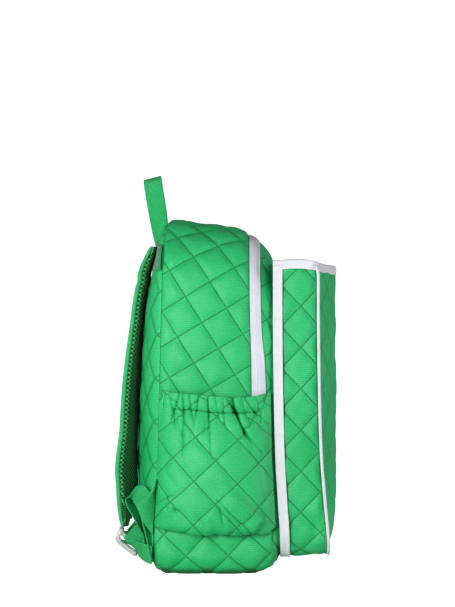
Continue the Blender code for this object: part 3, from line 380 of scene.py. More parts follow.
def lengthAlong(path, axis=0):
    steps = np.linalg.norm(np.diff(path, axis=axis), axis=-1)
    return np.insert(np.cumsum(steps, axis=axis), 0, 0, axis=axis)


def acrossPath(path, ways):
    # the way nearest to ways that is square to the path, and the way square to both
    along = unit(np.gradient(path, axis=0))
    flat = unit(ways - along * np.sum(ways * along, axis=1, keepdims=True))
    return flat, np.cross(along, flat)


def sweep(name, path, ways, section, material):
    # runs a closed section, as (across, out) pairs, along a path; its width points to ways
    flat, out = acrossPath(path, ways)
    ring = np.concatenate([section, section[:1]])
    points = path[:, None] + flat[:, None] * ring[:, :1] + out[:, None] * ring[:, 1:]
    return tubeMesh(name, points, material, stacked(lengthAlong(ring), lengthAlong(path)[:, None]))


def bandSection(width, thickness, columns=8):
    # a flat band's section with rounded edges
    half, edge = width / 2, thickness / 2
    across = np.linspace(-half + edge, half - edge, columns)
    turn = np.linspace(-math.pi / 2, math.pi / 2, 5)[1:-1]
    top = stacked(across[::-1], edge)
    left = stacked(-half + edge - edge * np.cos(turn), -edge * np.sin(turn))
    bottom = stacked(across, -edge)
    right = stacked(half - edge + edge * np.cos(turn), edge * np.sin(turn))
    return np.concatenate([top, left, bottom, right])


def fullTurn(count):
    return np.linspace(0, 2 * math.pi, count + 1)[:-1]


def roundSection(radius, count):
    return stacked(np.cos(fullTurn(count)), np.sin(fullTurn(count))) * radius


def roundedSquare(count, width, height, power):
    c, s = np.cos(fullTurn(count)), np.sin(fullTurn(count))
    return np.sign(c) * np.abs(c) ** power * width / 2, np.sign(s) * np.abs(s) ** power * height / 2


# Quilting.

# The photograph shows the bag square from the side at 1.3 mm to a pixel, and its pixels place one crossing of
# each panel's stitched lines and the steps from it to the next crossings.
photo = {"scale": 0.0013, "column": 212, "row": 575}
diamond = {"side": 0.0385, "puff": 0.0034, "soft": 0.0042}
lattices = {
    "side": {"at": (202.0, 322.5), "down": (16.5, 26.0), "rise": (24.5, -14.5)},
    "lower": {"at": (206.0, 534.3), "down": (22.5, 21.5), "rise": (20.0, -22.0)},
    "pocket": {"at": (194.9, 436.8), "down": (21.1, 23.1), "rise": (21.7, -20.4)},
    "sleeve": {"at": (301.0, 347.5), "down": (19.5, 20.7), "rise": (19.5, -20.7)},
}


def latticePlace(y, v, name):
    # how many diamonds a place lies from the panel's own crossing, along its two families of lines
    lattice = lattices[name]
    dy = y + (lattice["at"][0] - photo["column"]) * photo["scale"]
    dv = v - (photo["row"] - lattice["at"][1]) * photo["scale"]
    turned = np.linalg.inv(np.array([lattice["down"], lattice["rise"]]).T * -photo["scale"])
    return turned[0, 0] * dy + turned[0, 1] * dv, turned[1, 0] * dy + turned[1, 1] * dv


def quiltHeight(p, q):
    # a pillow between the lines, pulled down along them
    height = 1.0
    for share in (p, q):
        near = np.abs(share - np.round(share)) * diamond["side"]
        height = height * (1 - np.exp(-((near / diamond["soft"]) ** 2)))
    dome = np.abs(np.sin(math.pi * p) * np.sin(math.pi * q))
    return diamond["puff"] * (0.55 * height + 0.45 * dome)


# The body.

body = {
    "height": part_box("main_shell")[1].z,
    "sideBow": 0.005,
    "depth": 0.150,
    "topRound": 0.090,
    "topSpread": 0.082,
    "topCrown": 0.005,
    "baseRound": 0.028,
    "zipEnd": 0.232,
    "wall": 0.0022,
    "inset": 0.0012,  # the cloth starts a little inside the solid, and its quilting swells back out
    "groove": 0.0030,
    "seamPull": 0.0045,
    "sag": 0.0015,
    "crumple": 0.0009,
    "frontCrown": 0.003,
    "lowerQuilt": 0.15,  # the pocket hides where the base's diamonds meet the side's
    "spacing": 0.0026,
}
body["halfWidth"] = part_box("main_shell")[1].x - body["sideBow"]
seams = [  # height, back, front
    (0.00, 0.513, -0.640),
    (0.12, 0.510, -0.627),
    (0.20, 0.493, -0.610),
    (0.35, 0.473, -0.585),
    (0.55, 0.458, -0.572),
    (0.75, 0.443, -0.567),
    (0.91, 0.427, -0.567),
    (1.00, 0.392, -0.567),
]
bodySections = [  # depth, half width, top, base, top round, base round
    (0.00, 0.933, 0.994, 0.030, 0.96, 0.95),
    (0.03, 0.957, 0.999, 0.014, 0.98, 0.97),
    (0.13, 0.983, 1.000, 0.000, 1.00, 1.00),
    (0.30, 0.997, 0.991, 0.000, 1.00, 1.00),
    (0.50, 1.000, 0.985, 0.000, 1.00, 1.00),
    (0.66, 0.993, 0.975, 0.000, 1.00, 1.00),
    (0.77, 0.983, 0.960, 0.002, 0.99, 1.03),
    (0.86, 0.963, 0.941, 0.020, 0.96, 1.10),
    (0.93, 0.935, 0.915, 0.036, 0.91, 1.20),
    (0.96, 0.913, 0.899, 0.052, 0.88, 1.28),
    (1.00, 0.913, 0.868, 0.052, 0.82, 1.28),
]
zipEdges = [  # height, back, front
    (0.50, 0.775, 0.902),
    (0.60, 0.773, 0.892),
    (0.68, 0.767, 0.868),
    (0.80, 0.758, 0.857),
    (1.00, 0.754, 0.850),
]
zipShares = (0.76, 0.87)  # the zip's edges, as shares of the cloth's columns
outlineParts = (0.170, 0.232, 0.716, 0.905)  # where its base, base corner, side and top corner end


def bodyY(depth, z):
    back = body["depth"] * curveThrough(seams, z / body["height"], 1)
    front = body["depth"] * curveThrough(seams, z / body["height"], 2)
    return back + (front - back) * depth


def bodySection(depth):
    # half width, top, base, the top corner's height and width, and the base corner's radius
    half, top, base, topShare, baseShare = (curveThrough(bodySections, depth, i) for i in range(1, 6))
    corners = (body["topRound"] * topShare, body["topSpread"] * topShare, body["baseRound"] * baseShare)
    return body["halfWidth"] * half, body["height"] * top - body["topCrown"], body["height"] * base, *corners


def sideBow(z):
    return body["sideBow"] * np.sin(math.pi * np.clip(z / body["height"], 0, 1))


def outline(depth, k):
    # x, z and the length of cloth, at a share k of the half outline from the base's middle to the top's
    half, top, base, topRound, topSpread, baseRound = bodySection(depth)
    cornerArc = baseRound * math.pi / 2
    topArc = math.pi / 2 * np.sqrt((topRound**2 + topSpread**2) / 2)
    rise, flat = top - topRound - base - baseRound, half - topSpread
    bounds = (0, *outlineParts, 1)
    u1, u2, u3, u4, u5 = (np.clip((k - a) / (b - a), 0, 1) for a, b in zip(bounds, bounds[1:]))
    turn2, turn4 = u2 * math.pi / 2, u4 * math.pi / 2
    x = (half - baseRound) * u1 + baseRound * np.sin(turn2) - topSpread * (1 - np.cos(turn4)) - flat * u5
    z = base + baseRound * (1 - np.cos(turn2)) + rise * u3 + topRound * np.sin(turn4)
    z = z + body["topCrown"] * (1 - (1 - u5) ** 2)
    v = base + baseRound - cornerArc - (half - baseRound) * (1 - u1)
    v = v + cornerArc * u2 + rise * u3 + topArc * u4 + flat * u5
    return x * (1 + sideBow(z) / half), z, v


def halfWidthAt(depth, z):
    half, top, base, topRound, topSpread, baseRound = bodySection(depth)
    down = np.clip((base + baseRound - z) / baseRound, 0, 1)
    up = np.clip((z - top + topRound) / topRound, 0, 1)
    return half - baseRound * (1 - np.sqrt(1 - down**2)) - topSpread * (1 - np.sqrt(1 - up**2)) + sideBow(z)


def outlineSteps(spacing):
    lengths = (0.122, 0.044, 0.345, 0.135, 0.068)  # of the outline's parts, to share the points out evenly
    parts = zip((0, *outlineParts), (*outlineParts, 1), lengths)
    steps = [np.linspace(a, b, max(2, round(length / spacing)), endpoint=False) for a, b, length in parts]
    return np.concatenate([*steps, [1.0]])


def bodyDepth(share, z):
    # the grid's columns lie along the zip's edges; share runs from the back seam, 0, to the front seam, 1
    back = curveThrough(zipEdges, z / body["height"], 1)
    front = curveThrough(zipEdges, z / body["height"], 2)
    a, b = zipShares
    middle = back + (share - a) / (b - a) * (front - back)
    last = front + (share - b) / (1 - b) * (1 - front)
    return np.where(share < a, share / a * back, np.where(share < b, middle, last))


def columnShares(spacing, rim=0.004):
    a, b = zipShares
    rear = np.linspace(0, a - rim, round(0.13 / spacing))
    zipBed = np.linspace(a + rim / 2, b - rim / 2, 7)
    front = np.linspace(b + rim, 1, round(0.02 / spacing) + 3)[1:]
    return np.concatenate([rear, [a - rim / 2, a], zipBed, [b, b + rim / 2, b + rim], front])


def bodySurface(shares, spacing):
    # the body's skin without its quilting, from the base's middle up the left, over and down the right
    half = outlineSteps(spacing)
    k = np.concatenate([half, half[-2::-1]])[:, None]
    side = np.where(np.arange(len(k)) < len(half), -1.0, 1.0)[:, None]
    depth = bodyDepth(shares, 0.2)
    for _ in range(3):
        depth = bodyDepth(shares, outline(depth, k)[1])
    x, z, v = outline(depth, k)
    return x * side, bodyY(depth, z), z, np.where(side < 0, v, 2 * v[len(half) - 1] - v)


def makeBody(material):
    shares = columnShares(body["spacing"])
    a, b = zipShares
    x, y, z, v = bodySurface(shares, body["spacing"])
    belowPocket = (z < body["lowerQuilt"]) & (shares < b)
    lower, upper = latticePlace(y, v, "lower"), latticePlace(y, v, "side")
    p, q = (np.where(belowPocket, under, over) for under, over in zip(lower, upper))
    # every seam pulls the wadding down beside it
    toSeam = 1.0
    for seam in (0.0, a, b, 1.0):
        column = int(np.argmin(np.abs(shares - seam)))
        away = np.abs(y - y[:, column : column + 1])
        if seam in zipShares:
            away = away + (z < body["zipEnd"]) * 0.02
        toSeam = toSeam * (1 - np.exp(-((away / body["seamPull"]) ** 2)))
    low, high = pocket["base"], pocket["top"]
    underPocket = ease(z, low + 0.002, low + 0.016) * (1 - ease(z, high - 0.021, high - 0.004))
    underPocket = underPocket * (1 - ease(shares, 0.93, 0.96))
    strip = ease(shares, b, b + 0.02)
    height = quiltHeight(p, q) * toSeam * (1 - 0.8 * underPocket) * (1 - 0.55 * strip)
    height = height - body["inset"] * ease(np.abs(y - y[:, :1]), 0, 0.006)
    uneven = body["sag"] * softNoise(y, v, 3, 0.07) + body["crumple"] * softNoise(y * 1.7, v, 4, 0.034)
    inZip = (shares > a) & (shares < b) & (z > body["zipEnd"] - 0.004)
    height = np.where(inZip, -body["groove"], height + uneven * toSeam)
    points = raised(stacked(x, y, z), stacked(x, 0, z - body["height"] / 2), height)
    points[..., 2] = np.maximum(points[..., 2], 0.0003)
    made = gridPiece("body_quilted_cloth", points, material, stacked(y, v), stacked(p, q), body["wall"])
    return finishPiece(made, "quilted_nylon", "main_shell")


def makeFrontWall(material):
    half, z, _ = outline(1.0, np.linspace(outlineParts[0], outlineParts[3], 110))
    half, z = half[:, None], z[:, None]
    across = np.linspace(-1, 1, 90)
    x = half * across
    upright = (2 * z - z[0] - z[-1]) / (z[-1] - z[0])
    crown = body["frontCrown"] * (1 - across**2) * np.maximum(0, 1 - upright**4)
    p, q = latticePlace(x - 0.1, z, "sleeve")
    y = bodyY(1.0, z) - crown + 0.0004 - quiltHeight(p, q) * 0.5 * (1 - across**8)
    made = gridPiece("body_front_wall", stacked(x, y, z), material, stacked(x, z), stacked(p, q), 0.002)
    return finishPiece(made, "quilted_nylon")


# The padded back panel.

backPad = {
    "bulge": 0.0188,
    "pad": 0.008,
    "edge": 0.004,
    "gap": 0.0004,
    "lip": 0.007,  # how far in from its seam the pad reaches its full thickness
    "tuck": 0.0016,
    "puff": 0.85,
    "sag": 0.0008,
    "rows": 172,
    "columns": 116,
}
backBulges = [  # height, bulge
    (0.00, 0.00),
    (0.06, 0.14),
    (0.14, 0.45),
    (0.25, 0.80),
    (0.32, 0.97),
    (0.43, 1.00),
    (0.55, 0.94),
    (0.68, 0.82),
    (0.76, 0.68),
    (0.85, 0.33),
    (0.92, 0.08),
    (1.00, 0.00),
]


def backSurface(x, z, half):
    # the pad's outer and inner faces
    share = curveThrough(backBulges, z / body["height"], 1)
    roundOff = 1 - np.minimum(1.0, np.abs(x) / half) ** 3.2
    inner = bodyY(0.0, z) + backPad["gap"] + backPad["bulge"] * share * roundOff
    pad = backPad["edge"] + (backPad["pad"] - backPad["edge"]) * np.minimum(1.0, 2 * share) * roundOff
    return inner + pad, inner


def lipShare(rim):
    return 1 - np.clip(1 - rim / backPad["lip"], 0, 1) ** 2


def makeBackPad(material):
    end = outlineParts[3]
    k = np.linspace(outlineParts[0], end, backPad["rows"])[:, None]
    half, z, _ = outline(0.0, k)
    across = np.sin(np.linspace(-1, 1, backPad["columns"]) * math.pi / 2)
    x = half * across
    zz = z + body["topCrown"] * ease(k, 0.9 * end, end) * (1 - across**2)
    outer, inner = backSurface(x, zz, half)
    p, q = latticePlace(x * 0.98 + 0.02, zz, "pocket")
    # the pad's face curves down to the seam all round
    rim = np.minimum(half - np.abs(x), np.minimum(zz - z[0], z[-1] - z))
    y = inner - backPad["tuck"] + (outer - inner + 0.0010) * np.sqrt(np.maximum(lipShare(rim), 0))
    y = y + quiltHeight(p, q) * backPad["puff"] * ease(rim, 0.001, 0.014)
    y = y + backPad["sag"] * softNoise(x, zz, 5, 0.06) * ease(rim, 0, 0.02)
    face = stacked(x, y, zz)
    under = stacked(x * 0.995, inner - 0.0022, zz)
    index = np.arange(x.size).reshape(x.shape)
    edge = np.concatenate([index[:, 0], index[-1, 1:], index[-2::-1, -1], index[0, -2:0:-1]])
    nextEdge = np.roll(edge, -1)
    sides = np.stack([edge, nextEdge, nextEdge + x.size, edge + x.size], -1)
    grid = gridFaces(*x.shape)
    faces = np.concatenate([grid[:, ::-1], grid + x.size, sides])
    cloth, quilt = stacked(x, zz), stacked(p, q)
    both = [np.stack([layer, layer]) for layer in (cloth, quilt)]
    made = addMesh("back_panel_padding", np.stack([face, under]), faces, material, *both)
    return finishPiece(made, "quilted_nylon", "back_panel")


yoke = {"height": 0.033, "belowTop": 0.033, "wall": 0.002, "gap": 0.0006, "wrap": 0.0026}


def makeYoke(material):
    top = body["height"] - yoke["belowTop"]
    z = np.linspace(top - yoke["height"], top, 16)[:, None]
    half = halfWidthAt(0.0, z)
    across = np.sin(np.linspace(-1, 1, 90) * math.pi / 2)
    outer, inner = backSurface(half * across, z, half)
    lip = lipShare(half - np.abs(half * across))
    x = half * across + np.sign(across) * (1 - lip) * yoke["wrap"]
    y = inner - 0.0010 + (outer - inner + 0.0010) * np.sqrt(lip) + yoke["gap"] + yoke["wall"]
    points, cloth = stacked(x, y, z)[:, ::-1], stacked(x, z)[:, ::-1]
    made = gridPiece("strap_yoke_webbing", points, material, cloth, None, yoke["wall"])
    return finishPiece(made, "green_webbing", "strap_yoke")


# The zip.

zipLook = {"tape": 0.0006, "coil": 0.0006, "ribs": 0.0003, "ribCount": 7, "split": 0.0009, "wall": 0.0014}


def makeZip(material):
    inner = np.linspace(0.02, 0.98, 33)
    x, y, z, v = bodySurface(zipShares[0] + (zipShares[1] - zipShares[0]) * inner, 0.0022)
    # two tapes meet in the middle over a covered coil, each with fine lengthwise ribs and a folded edge
    centre = np.abs(inner - 0.5) * 2
    profile = zipLook["tape"] * (1 - centre**6) + zipLook["coil"] * np.exp(-((centre / 0.34) ** 4))
    profile = profile - zipLook["split"] * np.exp(-((centre / 0.04) ** 2))
    profile = profile + zipLook["ribs"] * np.cos(centre * math.pi * zipLook["ribCount"]) * (centre < 0.9)
    points = raised(stacked(x, y, z), stacked(x, 0, z - body["height"] / 2), profile)
    keep = z[:, 0] > body["zipEnd"] - 0.001
    made = gridPiece("zip_tape_ribbed", points[keep], material, stacked(y, v)[keep], None, zipLook["wall"])
    return finishPiece(made, "white_zip_tape", "zip_tape")


slider = {"length": 0.012, "pullWidth": 0.62, "pullTop": 0.010, "hole": 0.24, "steps": 24}


def makeSlider(material):
    # slider body: a rounded wedge; pull: a thin plate with a rounded end and a hole
    low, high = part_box("zip_slider")
    middle, top, width = (low.y + high.y) / 2, high.z, high.y - low.y
    length, steps = slider["length"], slider["steps"]
    rings = []
    for x, grow in ((low.x, 0.86), (low.x + 0.0006, 1.0), (high.x - 0.001, 0.98), (high.x - 0.0002, 0.7)):
        across, up = roundedSquare(steps, width * grow, length * grow, 0.7)
        rings.append(stacked(x, middle + across * (1 - 0.15 * up / length), top - length / 2 + up))
    faces = [face for r in range(3) for face in bridge(r * steps, (r + 1) * steps, steps)]
    faces += [tuple(range(steps))[::-1], tuple(range(3 * steps, 4 * steps))]
    made = addMesh("zip_slider_body", rings, faces, material)
    finishPiece(made, "nickel_plate", "zip_slider")
    reach, wide = top - slider["pullTop"] - low.z, width * slider["pullWidth"]
    c, s = roundSection(1.0, steps).T
    outer = (c * wide / 2, s * wide / 2 - np.where(s < 0, reach - wide, 0))
    hole = wide * slider["hole"]
    inner = (c * hole, s * hole - np.where(s < 0, reach - wide * 1.1, reach * 0.55))
    rings = []
    for x in (low.x + 0.0014, low.x + 0.0030):
        for y, z in (outer, inner):
            rings.append(stacked(x, middle + y, top - slider["pullTop"] - wide / 2 + z))
    around = ((0, 1), (1, 3), (3, 2), (2, 0))
    faces = [face for a, b in around for face in bridge(a * steps, b * steps, steps)]
    pull = addMesh("zip_pull", rings, faces, material, smooth=False)
    edge = pull.modifiers.new("edge", "BEVEL")
    edge.width = 0.0003
    edge.segments = 2
    finishPiece(pull, "nickel_plate")


# The front sleeve.

sleeve = {
    "mouth": 0.406,
    "drop": 0.006,
    "depth": 0.052,
    "crown": 0.026,
    "wall": 0.0020,
    "puff": 0.80,
    "firstLine": 0.0405,  # where the front's first stitch line stands from its middle
    "slump": 0.006,  # how far the side sinks in above its round lower corner
    "slumpHeight": 0.062,
    "slumpReach": 0.018,
    "rows": 148,
    "columns": 112,
    "deep": 22,
}
sleeveSections = [  # height, side, crown
    (0.00, 1.06, 0.02),
    (0.03, 1.06, 0.16),
    (0.09, 1.05, 0.42),
    (0.20, 1.03, 0.72),
    (0.38, 1.00, 0.92),
    (0.65, 0.99, 1.00),
    (0.90, 0.985, 1.00),
    (0.955, 0.985, 1.03),
    (1.00, 0.910, 1.14),
]


def sleeveBase():
    _, _, base, _, _, corner = bodySection(1.0)
    return base, corner


def sleeveHalf(z):
    base, corner = sleeveBase()
    down = np.clip((base + corner - z) / corner, 0, 1)
    return bodySection(1.0)[0] + sideBow(z) - corner * (1 - np.sqrt(1 - down**2))


def sleeveShare(z):
    base, _ = sleeveBase()
    return (z - base) / (sleeve["mouth"] - base)


def sleeveBackY(z):
    return bodyY(1.0, z) - 0.0004


def pipingY(z):
    return sleeveBackY(z) - sleeve["depth"] * curveThrough(sleeveSections, sleeveShare(z), 1)


def sleeveFace(share, across):
    # how far the front crowns out and how far it dips, from its middle, 0, to its sides, -1 and 1
    crown = sleeve["crown"] * curveThrough(sleeveSections, share, 2) * (1 - np.abs(across) ** 2.4)
    return crown, sleeve["drop"] * share**8 * (1 - np.abs(across) ** 6)


def sleeveHeights(count):
    # even steps of cloth up the round corner and the side
    base, corner = sleeveBase()
    arc = corner * math.pi / 2
    along = np.linspace(0, arc + sleeve["mouth"] - base - corner, count)
    angle = np.clip(along / corner, 0, math.pi / 2)
    return base + corner * (1 - np.cos(angle)) + np.maximum(0, along - arc)


def sleevePath(count, columns):
    # x and z along the sleeve's edge: down the left, along the base and up the right
    z = sleeveHeights(count)
    half = sleeveHalf(z)
    bottom = np.linspace(-half[0], half[0], columns)[1:-1]
    x = np.concatenate([-half[::-1], bottom, half])
    return x, np.concatenate([z[::-1], np.full(len(bottom), z[0]), z])


def sleeveOutward(x, z):
    base, corner = sleeveBase()
    centre = sleeveHalf(base + corner) - corner
    onSide = z >= base + corner
    across = np.where(onSide, 1.0, np.maximum(0, np.abs(x) - centre)) * np.sign(x)
    return unit(stacked(across, 0, np.where(onSide, 0, z - base - corner)))


def makeSleeveFront(material):
    z = sleeveHeights(sleeve["rows"])[:, None]
    across = np.linspace(-1, 1, sleeve["columns"])
    crown, dip = sleeveFace(sleeveShare(z), across)
    x = across * sleeveHalf(z)
    p, q = latticePlace(x - sleeve["firstLine"], z, "sleeve")
    edge = np.minimum(sleeveHalf(z) - np.abs(x), np.minimum(z - z[0], z[-1] - z))
    height = quiltHeight(p, q) * sleeve["puff"] * ease(edge, 0, 0.010)
    height = height + 0.0012 * softNoise(x, z, 8, 0.09) * ease(edge, 0, 0.02)
    points = raised(stacked(x, pipingY(z) - crown, z - dip), (0, -1, 0), height - 0.0008)
    made = gridPiece("sleeve_front_quilted", points, material, stacked(x, z), stacked(p, q), sleeve["wall"])
    return finishPiece(made, "quilted_nylon", "front_sleeve")


def makeSleeveGusset(material):
    x, z = sleevePath(sleeve["rows"], sleeve["columns"])
    length = lengthAlong(stacked(x, z))
    v = (z.max() - np.where(x < 0, length, length[-1] - length))[:, None]
    x, z = x[:, None], z[:, None]
    share = np.linspace(0, 1, sleeve["deep"])
    front, back = pipingY(z), sleeveBackY(z)
    y = front + (back - front) * share
    p, q = latticePlace(y, v, "sleeve")
    edge = np.minimum(y - front, back - y)
    dent = 0.0016 * softNoise(y, v, 11, 0.06) + 0.0008 * softNoise(y * 1.6, v, 12, 0.032)
    height = quiltHeight(p, q) * sleeve["puff"] * ease(edge, 0, 0.009) + dent * ease(edge, 0, 0.01)
    nearSlump = np.exp(-(((z - sleeve["slumpHeight"]) / sleeve["slumpReach"]) ** 2)) * (np.abs(x) > 0.1)
    height = height - sleeve["slump"] * nearSlump * np.sin(math.pi * share) ** 0.7
    outward = stacked(x, 0, np.minimum(0, z - sum(sleeveBase())))
    points = raised(stacked(x, y, z), outward, height - 0.0006)
    cloth, quilt = stacked(y, v), stacked(p, q)
    made = gridPiece("sleeve_gusset_quilted", points, material, cloth, quilt, sleeve["wall"])
    return finishPiece(made, "quilted_nylon")


def makeSleeveBack(material):
    # the sleeve's own back wall, against the body's front
    z = sleeveHeights(110)[:, None]
    across = np.linspace(-1, 1, 80)
    x = across * (sleeveHalf(z) - sleeve["wall"])
    y = sleeveBackY(z) - 0.0052 * (1 - across**2) - 0.0030
    p, q = latticePlace(x - 0.04, z, "sleeve")
    made = gridPiece("sleeve_back_wall", stacked(x, y, z), material, stacked(x, z), stacked(p, q), 0.0012)
    return finishPiece(made, "quilted_nylon")


binding = {
    "seamWidth": 0.0125,
    "thickness": 0.0018,
    "lift": 0.0022,
    "pucker": 0.00035,
    "stitch": 0.0105,
    "mouthHeight": 0.0088,
    "mouthRound": 0.014,
    "piping": 0.0042,
}


def makeSeamBinding(material):
    x, z = sleevePath(150, 90)
    path = stacked(x, sleeveBackY(z), z)
    path[0, 2] = path[-1, 2] = sleeve["mouth"] - 0.003
    length = lengthAlong(path)
    pucker = binding["pucker"] * np.sin(length * 2 * math.pi / binding["stitch"] + 2 * np.sin(length * 31))
    path = path + sleeveOutward(x, z) * (binding["lift"] + binding["thickness"] / 2 + pucker)[:, None]
    section = bandSection(binding["seamWidth"], binding["thickness"], 9)
    section[:, 1] += 0.0009 * (1 - (section[:, 0] / (binding["seamWidth"] / 2)) ** 2)
    made = sweep("seam_binding_grosgrain", path, (0.0, 1.0, 0.0), section, material)
    return finishPiece(made, "white_grosgrain", "sleeve_seam_binding")


def makePiping(material):
    x, z = sleevePath(150, 90)
    out = sleeveOutward(x, z)
    way = unit(out + (0.0, -1.0, 0.0))
    under = (1 - ease(z, z.min() + 0.004, z.min() + 0.030))[:, None]
    path = stacked(x, pipingY(z), z) + way * (binding["piping"] / 2 + 0.0004) - out * 0.0022 * under
    path[0, 2] = path[-1, 2] = sleeve["mouth"] - binding["mouthHeight"] - 0.001
    made = sweep("piping_cord", path, way, roundSection(binding["piping"] / 2, 12), material)
    return finishPiece(made, "white_grosgrain", "sleeve_piping")


def roundedPath(path, count, window):
    # the same path in even steps, its corners rounded
    along = lengthAlong(path)
    even = np.linspace(0, along[-1], count)
    path = np.stack([np.interp(even, along, path[:, axis]) for axis in range(3)], -1)
    reach = max(1, round(window / 2 / even[1]))
    before, after = 2 * path[0] - path[reach:0:-1], 2 * path[-1] - path[-2 : -2 - reach : -1]
    padded = np.concatenate([before, path, after])
    kernel = np.full(2 * reach + 1, 1 / (2 * reach + 1))
    return np.stack([np.convolve(padded[:, axis], kernel, "valid") for axis in range(3)], -1)


def makeMouthBinding(material):
    z = sleeve["mouth"]
    half, back, front = sleeveHalf(z), sleeveBackY(z), pipingY(z)
    across = np.linspace(-1, 1, 120)
    crown, dip = sleeveFace(1.0, across)
    left = stacked(-half, np.linspace(back + binding["seamWidth"] / 2, front, 26)[:-1], z)
    middle = stacked(across * half, front - crown, z - dip)
    path = roundedPath(np.concatenate([left, middle, left[::-1] * (-1, 1, 1)]), 320, binding["mouthRound"])
    fromBack = np.clip((back - path[:, 1]) / (back - front), 0, 1)
    path[:, 2] += 0.0016 * np.sin(fromBack * math.pi) - 0.0004
    out = unit(np.cross(np.gradient(path, axis=0), (0.0, 0.0, 1.0)))
    # the tape's section: up the outside, over the edge and down the inside, and back round its inner face
    wall, low = sleeve["wall"] / 2 + 0.0016, -binding["mouthHeight"]
    outer = wall + binding["thickness"]
    turn = np.linspace(0, math.pi, 9)
    over = stacked(outer * np.cos(turn), 0.0004 + outer * np.sin(turn) * 0.8)
    inside = stacked(wall * np.cos(turn), wall * np.sin(turn) * 0.8)[::-1]
    rise = [(wall + binding["thickness"] * 0.6, low), (outer, low + 0.0012), (outer, -0.002)]
    drop = [(-outer, -0.002), (-outer, low), (-wall, low)]
    ring = np.concatenate([rise, over, drop, inside, [(wall, low)], rise[:1]])
    base = path - out * (sleeve["wall"] / 2)
    points = base[:, None] + out[:, None] * ring[:, :1] + (0.0, 0.0, 1.0) * ring[:, 1:]
    cloth = stacked(lengthAlong(ring), lengthAlong(path)[:, None])
    made = tubeMesh("mouth_binding_grosgrain", points, material, cloth, weld=False)
    return finishPiece(made, "white_grosgrain", "sleeve_mouth_binding")


# The side pockets.

pocket = {
    "top": 0.236,
    "base": 0.064,
    "hem": 0.019,
    "bulge": 0.026,
    "overhang": 0.009,
    "back": 0.015,
    "front": 0.93,
    "wall": 0.0020,
    "rows": 150,
    "columns": 190,
    "gatherDepth": 0.0092,
    "gatherWidth": 0.0100,  # share of the pocket's length
    "gatherReach": 0.034,
    "ruffle": 0.0026,
    "fan": 0.9,
    "puff": 0.62,
    "hemDip": 0.0016,  # the stitched line under the hem
}
pocketRows = [  # height, bulge, drop
    (0.00, 0.04, 0.00),
    (0.00, 0.42, 0.85),
    (0.03, 0.78, 0.70),
    (0.09, 0.92, 0.15),
    (0.20, 1.00, 0.00),
    (0.36, 0.98, 0.00),
    (0.54, 0.86, 0.00),
    (0.70, 0.66, 0.00),
    (0.81, 0.46, 0.00),
    (0.87, 0.36, 0.00),
    (0.93, 0.46, 0.00),
    (1.00, 0.40, 0.00),
]
hemLine = [  # place from back to front, height of the hem's top edge
    (0.00, 0.2400),
    (0.17, 0.2350),
    (0.32, 0.2335),
    (0.48, 0.2310),
    (0.65, 0.2300),
    (0.81, 0.2305),
    (1.00, 0.2370),
]
baseLine = [  # place, how far the base hangs lower than its even line
    (0.00, 0.0000),
    (0.12, -0.0035),
    (0.30, 0.0005),
    (0.42, 0.0015),
    (0.50, -0.0020),
    (0.60, 0.0015),
    (0.74, 0.0015),
    (0.82, -0.0010),
    (0.90, 0.0030),
    (1.00, 0.0000),
]
gathers = [  # place from back to front, depth, reach, lean towards the front per metre down
    (0.045, 0.6, 0.4, -0.3),
    (0.100, 1.0, 0.6, 1.2),
    (0.160, 0.9, 0.4, -1.2),
    (0.215, 1.1, 1.3, 0.3),
    (0.275, 0.5, 0.3, 0.8),
    (0.345, 0.5, 0.5, -0.6),
    (0.440, 1.2, 1.0, 0.3),
    (0.515, 0.4, 0.3, 0.8),
    (0.575, 0.6, 0.6, 0.4),
    (0.640, 1.3, 1.7, 2.4),
    (0.680, 1.0, 1.2, 1.4),
    (0.755, 0.5, 0.4, 1.0),
    (0.810, 1.3, 0.8, 3.0),
    (0.885, 0.6, 0.5, 1.0),
    (0.945, 0.8, 0.4, -1.5),
]
pocketFolds = [  # from y, z to y, z, depth, width
    (0.0545, 0.0935, 0.0550, 0.0850, 0.0026, 0.0022),
    (0.0490, 0.0900, 0.0450, 0.0840, 0.0022, 0.0022),
    (-0.0500, 0.0590, -0.0650, 0.0700, 0.0030, 0.0028),
    (-0.0590, 0.1500, -0.0640, 0.1100, 0.0016, 0.0030),
    (0.0300, 0.1600, 0.0100, 0.1350, 0.0010, 0.0050),
    (0.0480, 0.2150, 0.0390, 0.1840, 0.0022, 0.0030),
    (0.0060, 0.2060, 0.0100, 0.1850, 0.0018, 0.0028),
    (-0.0270, 0.2220, -0.0420, 0.1820, 0.0034, 0.0034),
    (-0.0560, 0.2140, -0.0480, 0.1900, 0.0020, 0.0028),
    (0.0625, 0.0890, 0.0500, 0.0960, 0.0026, 0.0030),
    (0.0500, 0.0960, 0.0430, 0.0760, 0.0022, 0.0026),
    (0.0590, 0.1370, 0.0460, 0.1180, 0.0018, 0.0032),
    (0.0640, 0.1700, 0.0560, 0.1330, 0.0020, 0.0036),
    (-0.0100, 0.0900, -0.0160, 0.0620, 0.0020, 0.0030),
    (0.0200, 0.0820, 0.0060, 0.0620, 0.0016, 0.0030),
]
cornerFlaps = [  # the boxed base's corners, folded over: from y, z to y, z, rise, edge, flat, fade
    (-0.0500, 0.0590, -0.0130, 0.0940, 0.0062, 0.0014, 0.014, 0.026),
    (0.0770, 0.0890, 0.0480, 0.1045, 0.0058, 0.0014, 0.006, 0.026),
]


def alongFold(y, z, y0, z0, y1, z1):
    # how far along a fold a place is, as a share, and how far to its side
    length = math.hypot(y1 - y0, z1 - z0)
    wayY, wayZ = (y1 - y0) / length, (z1 - z0) / length
    return ((y - y0) * wayY + (z - z0) * wayZ) / length, (y - y0) * wayZ - (z - z0) * wayY


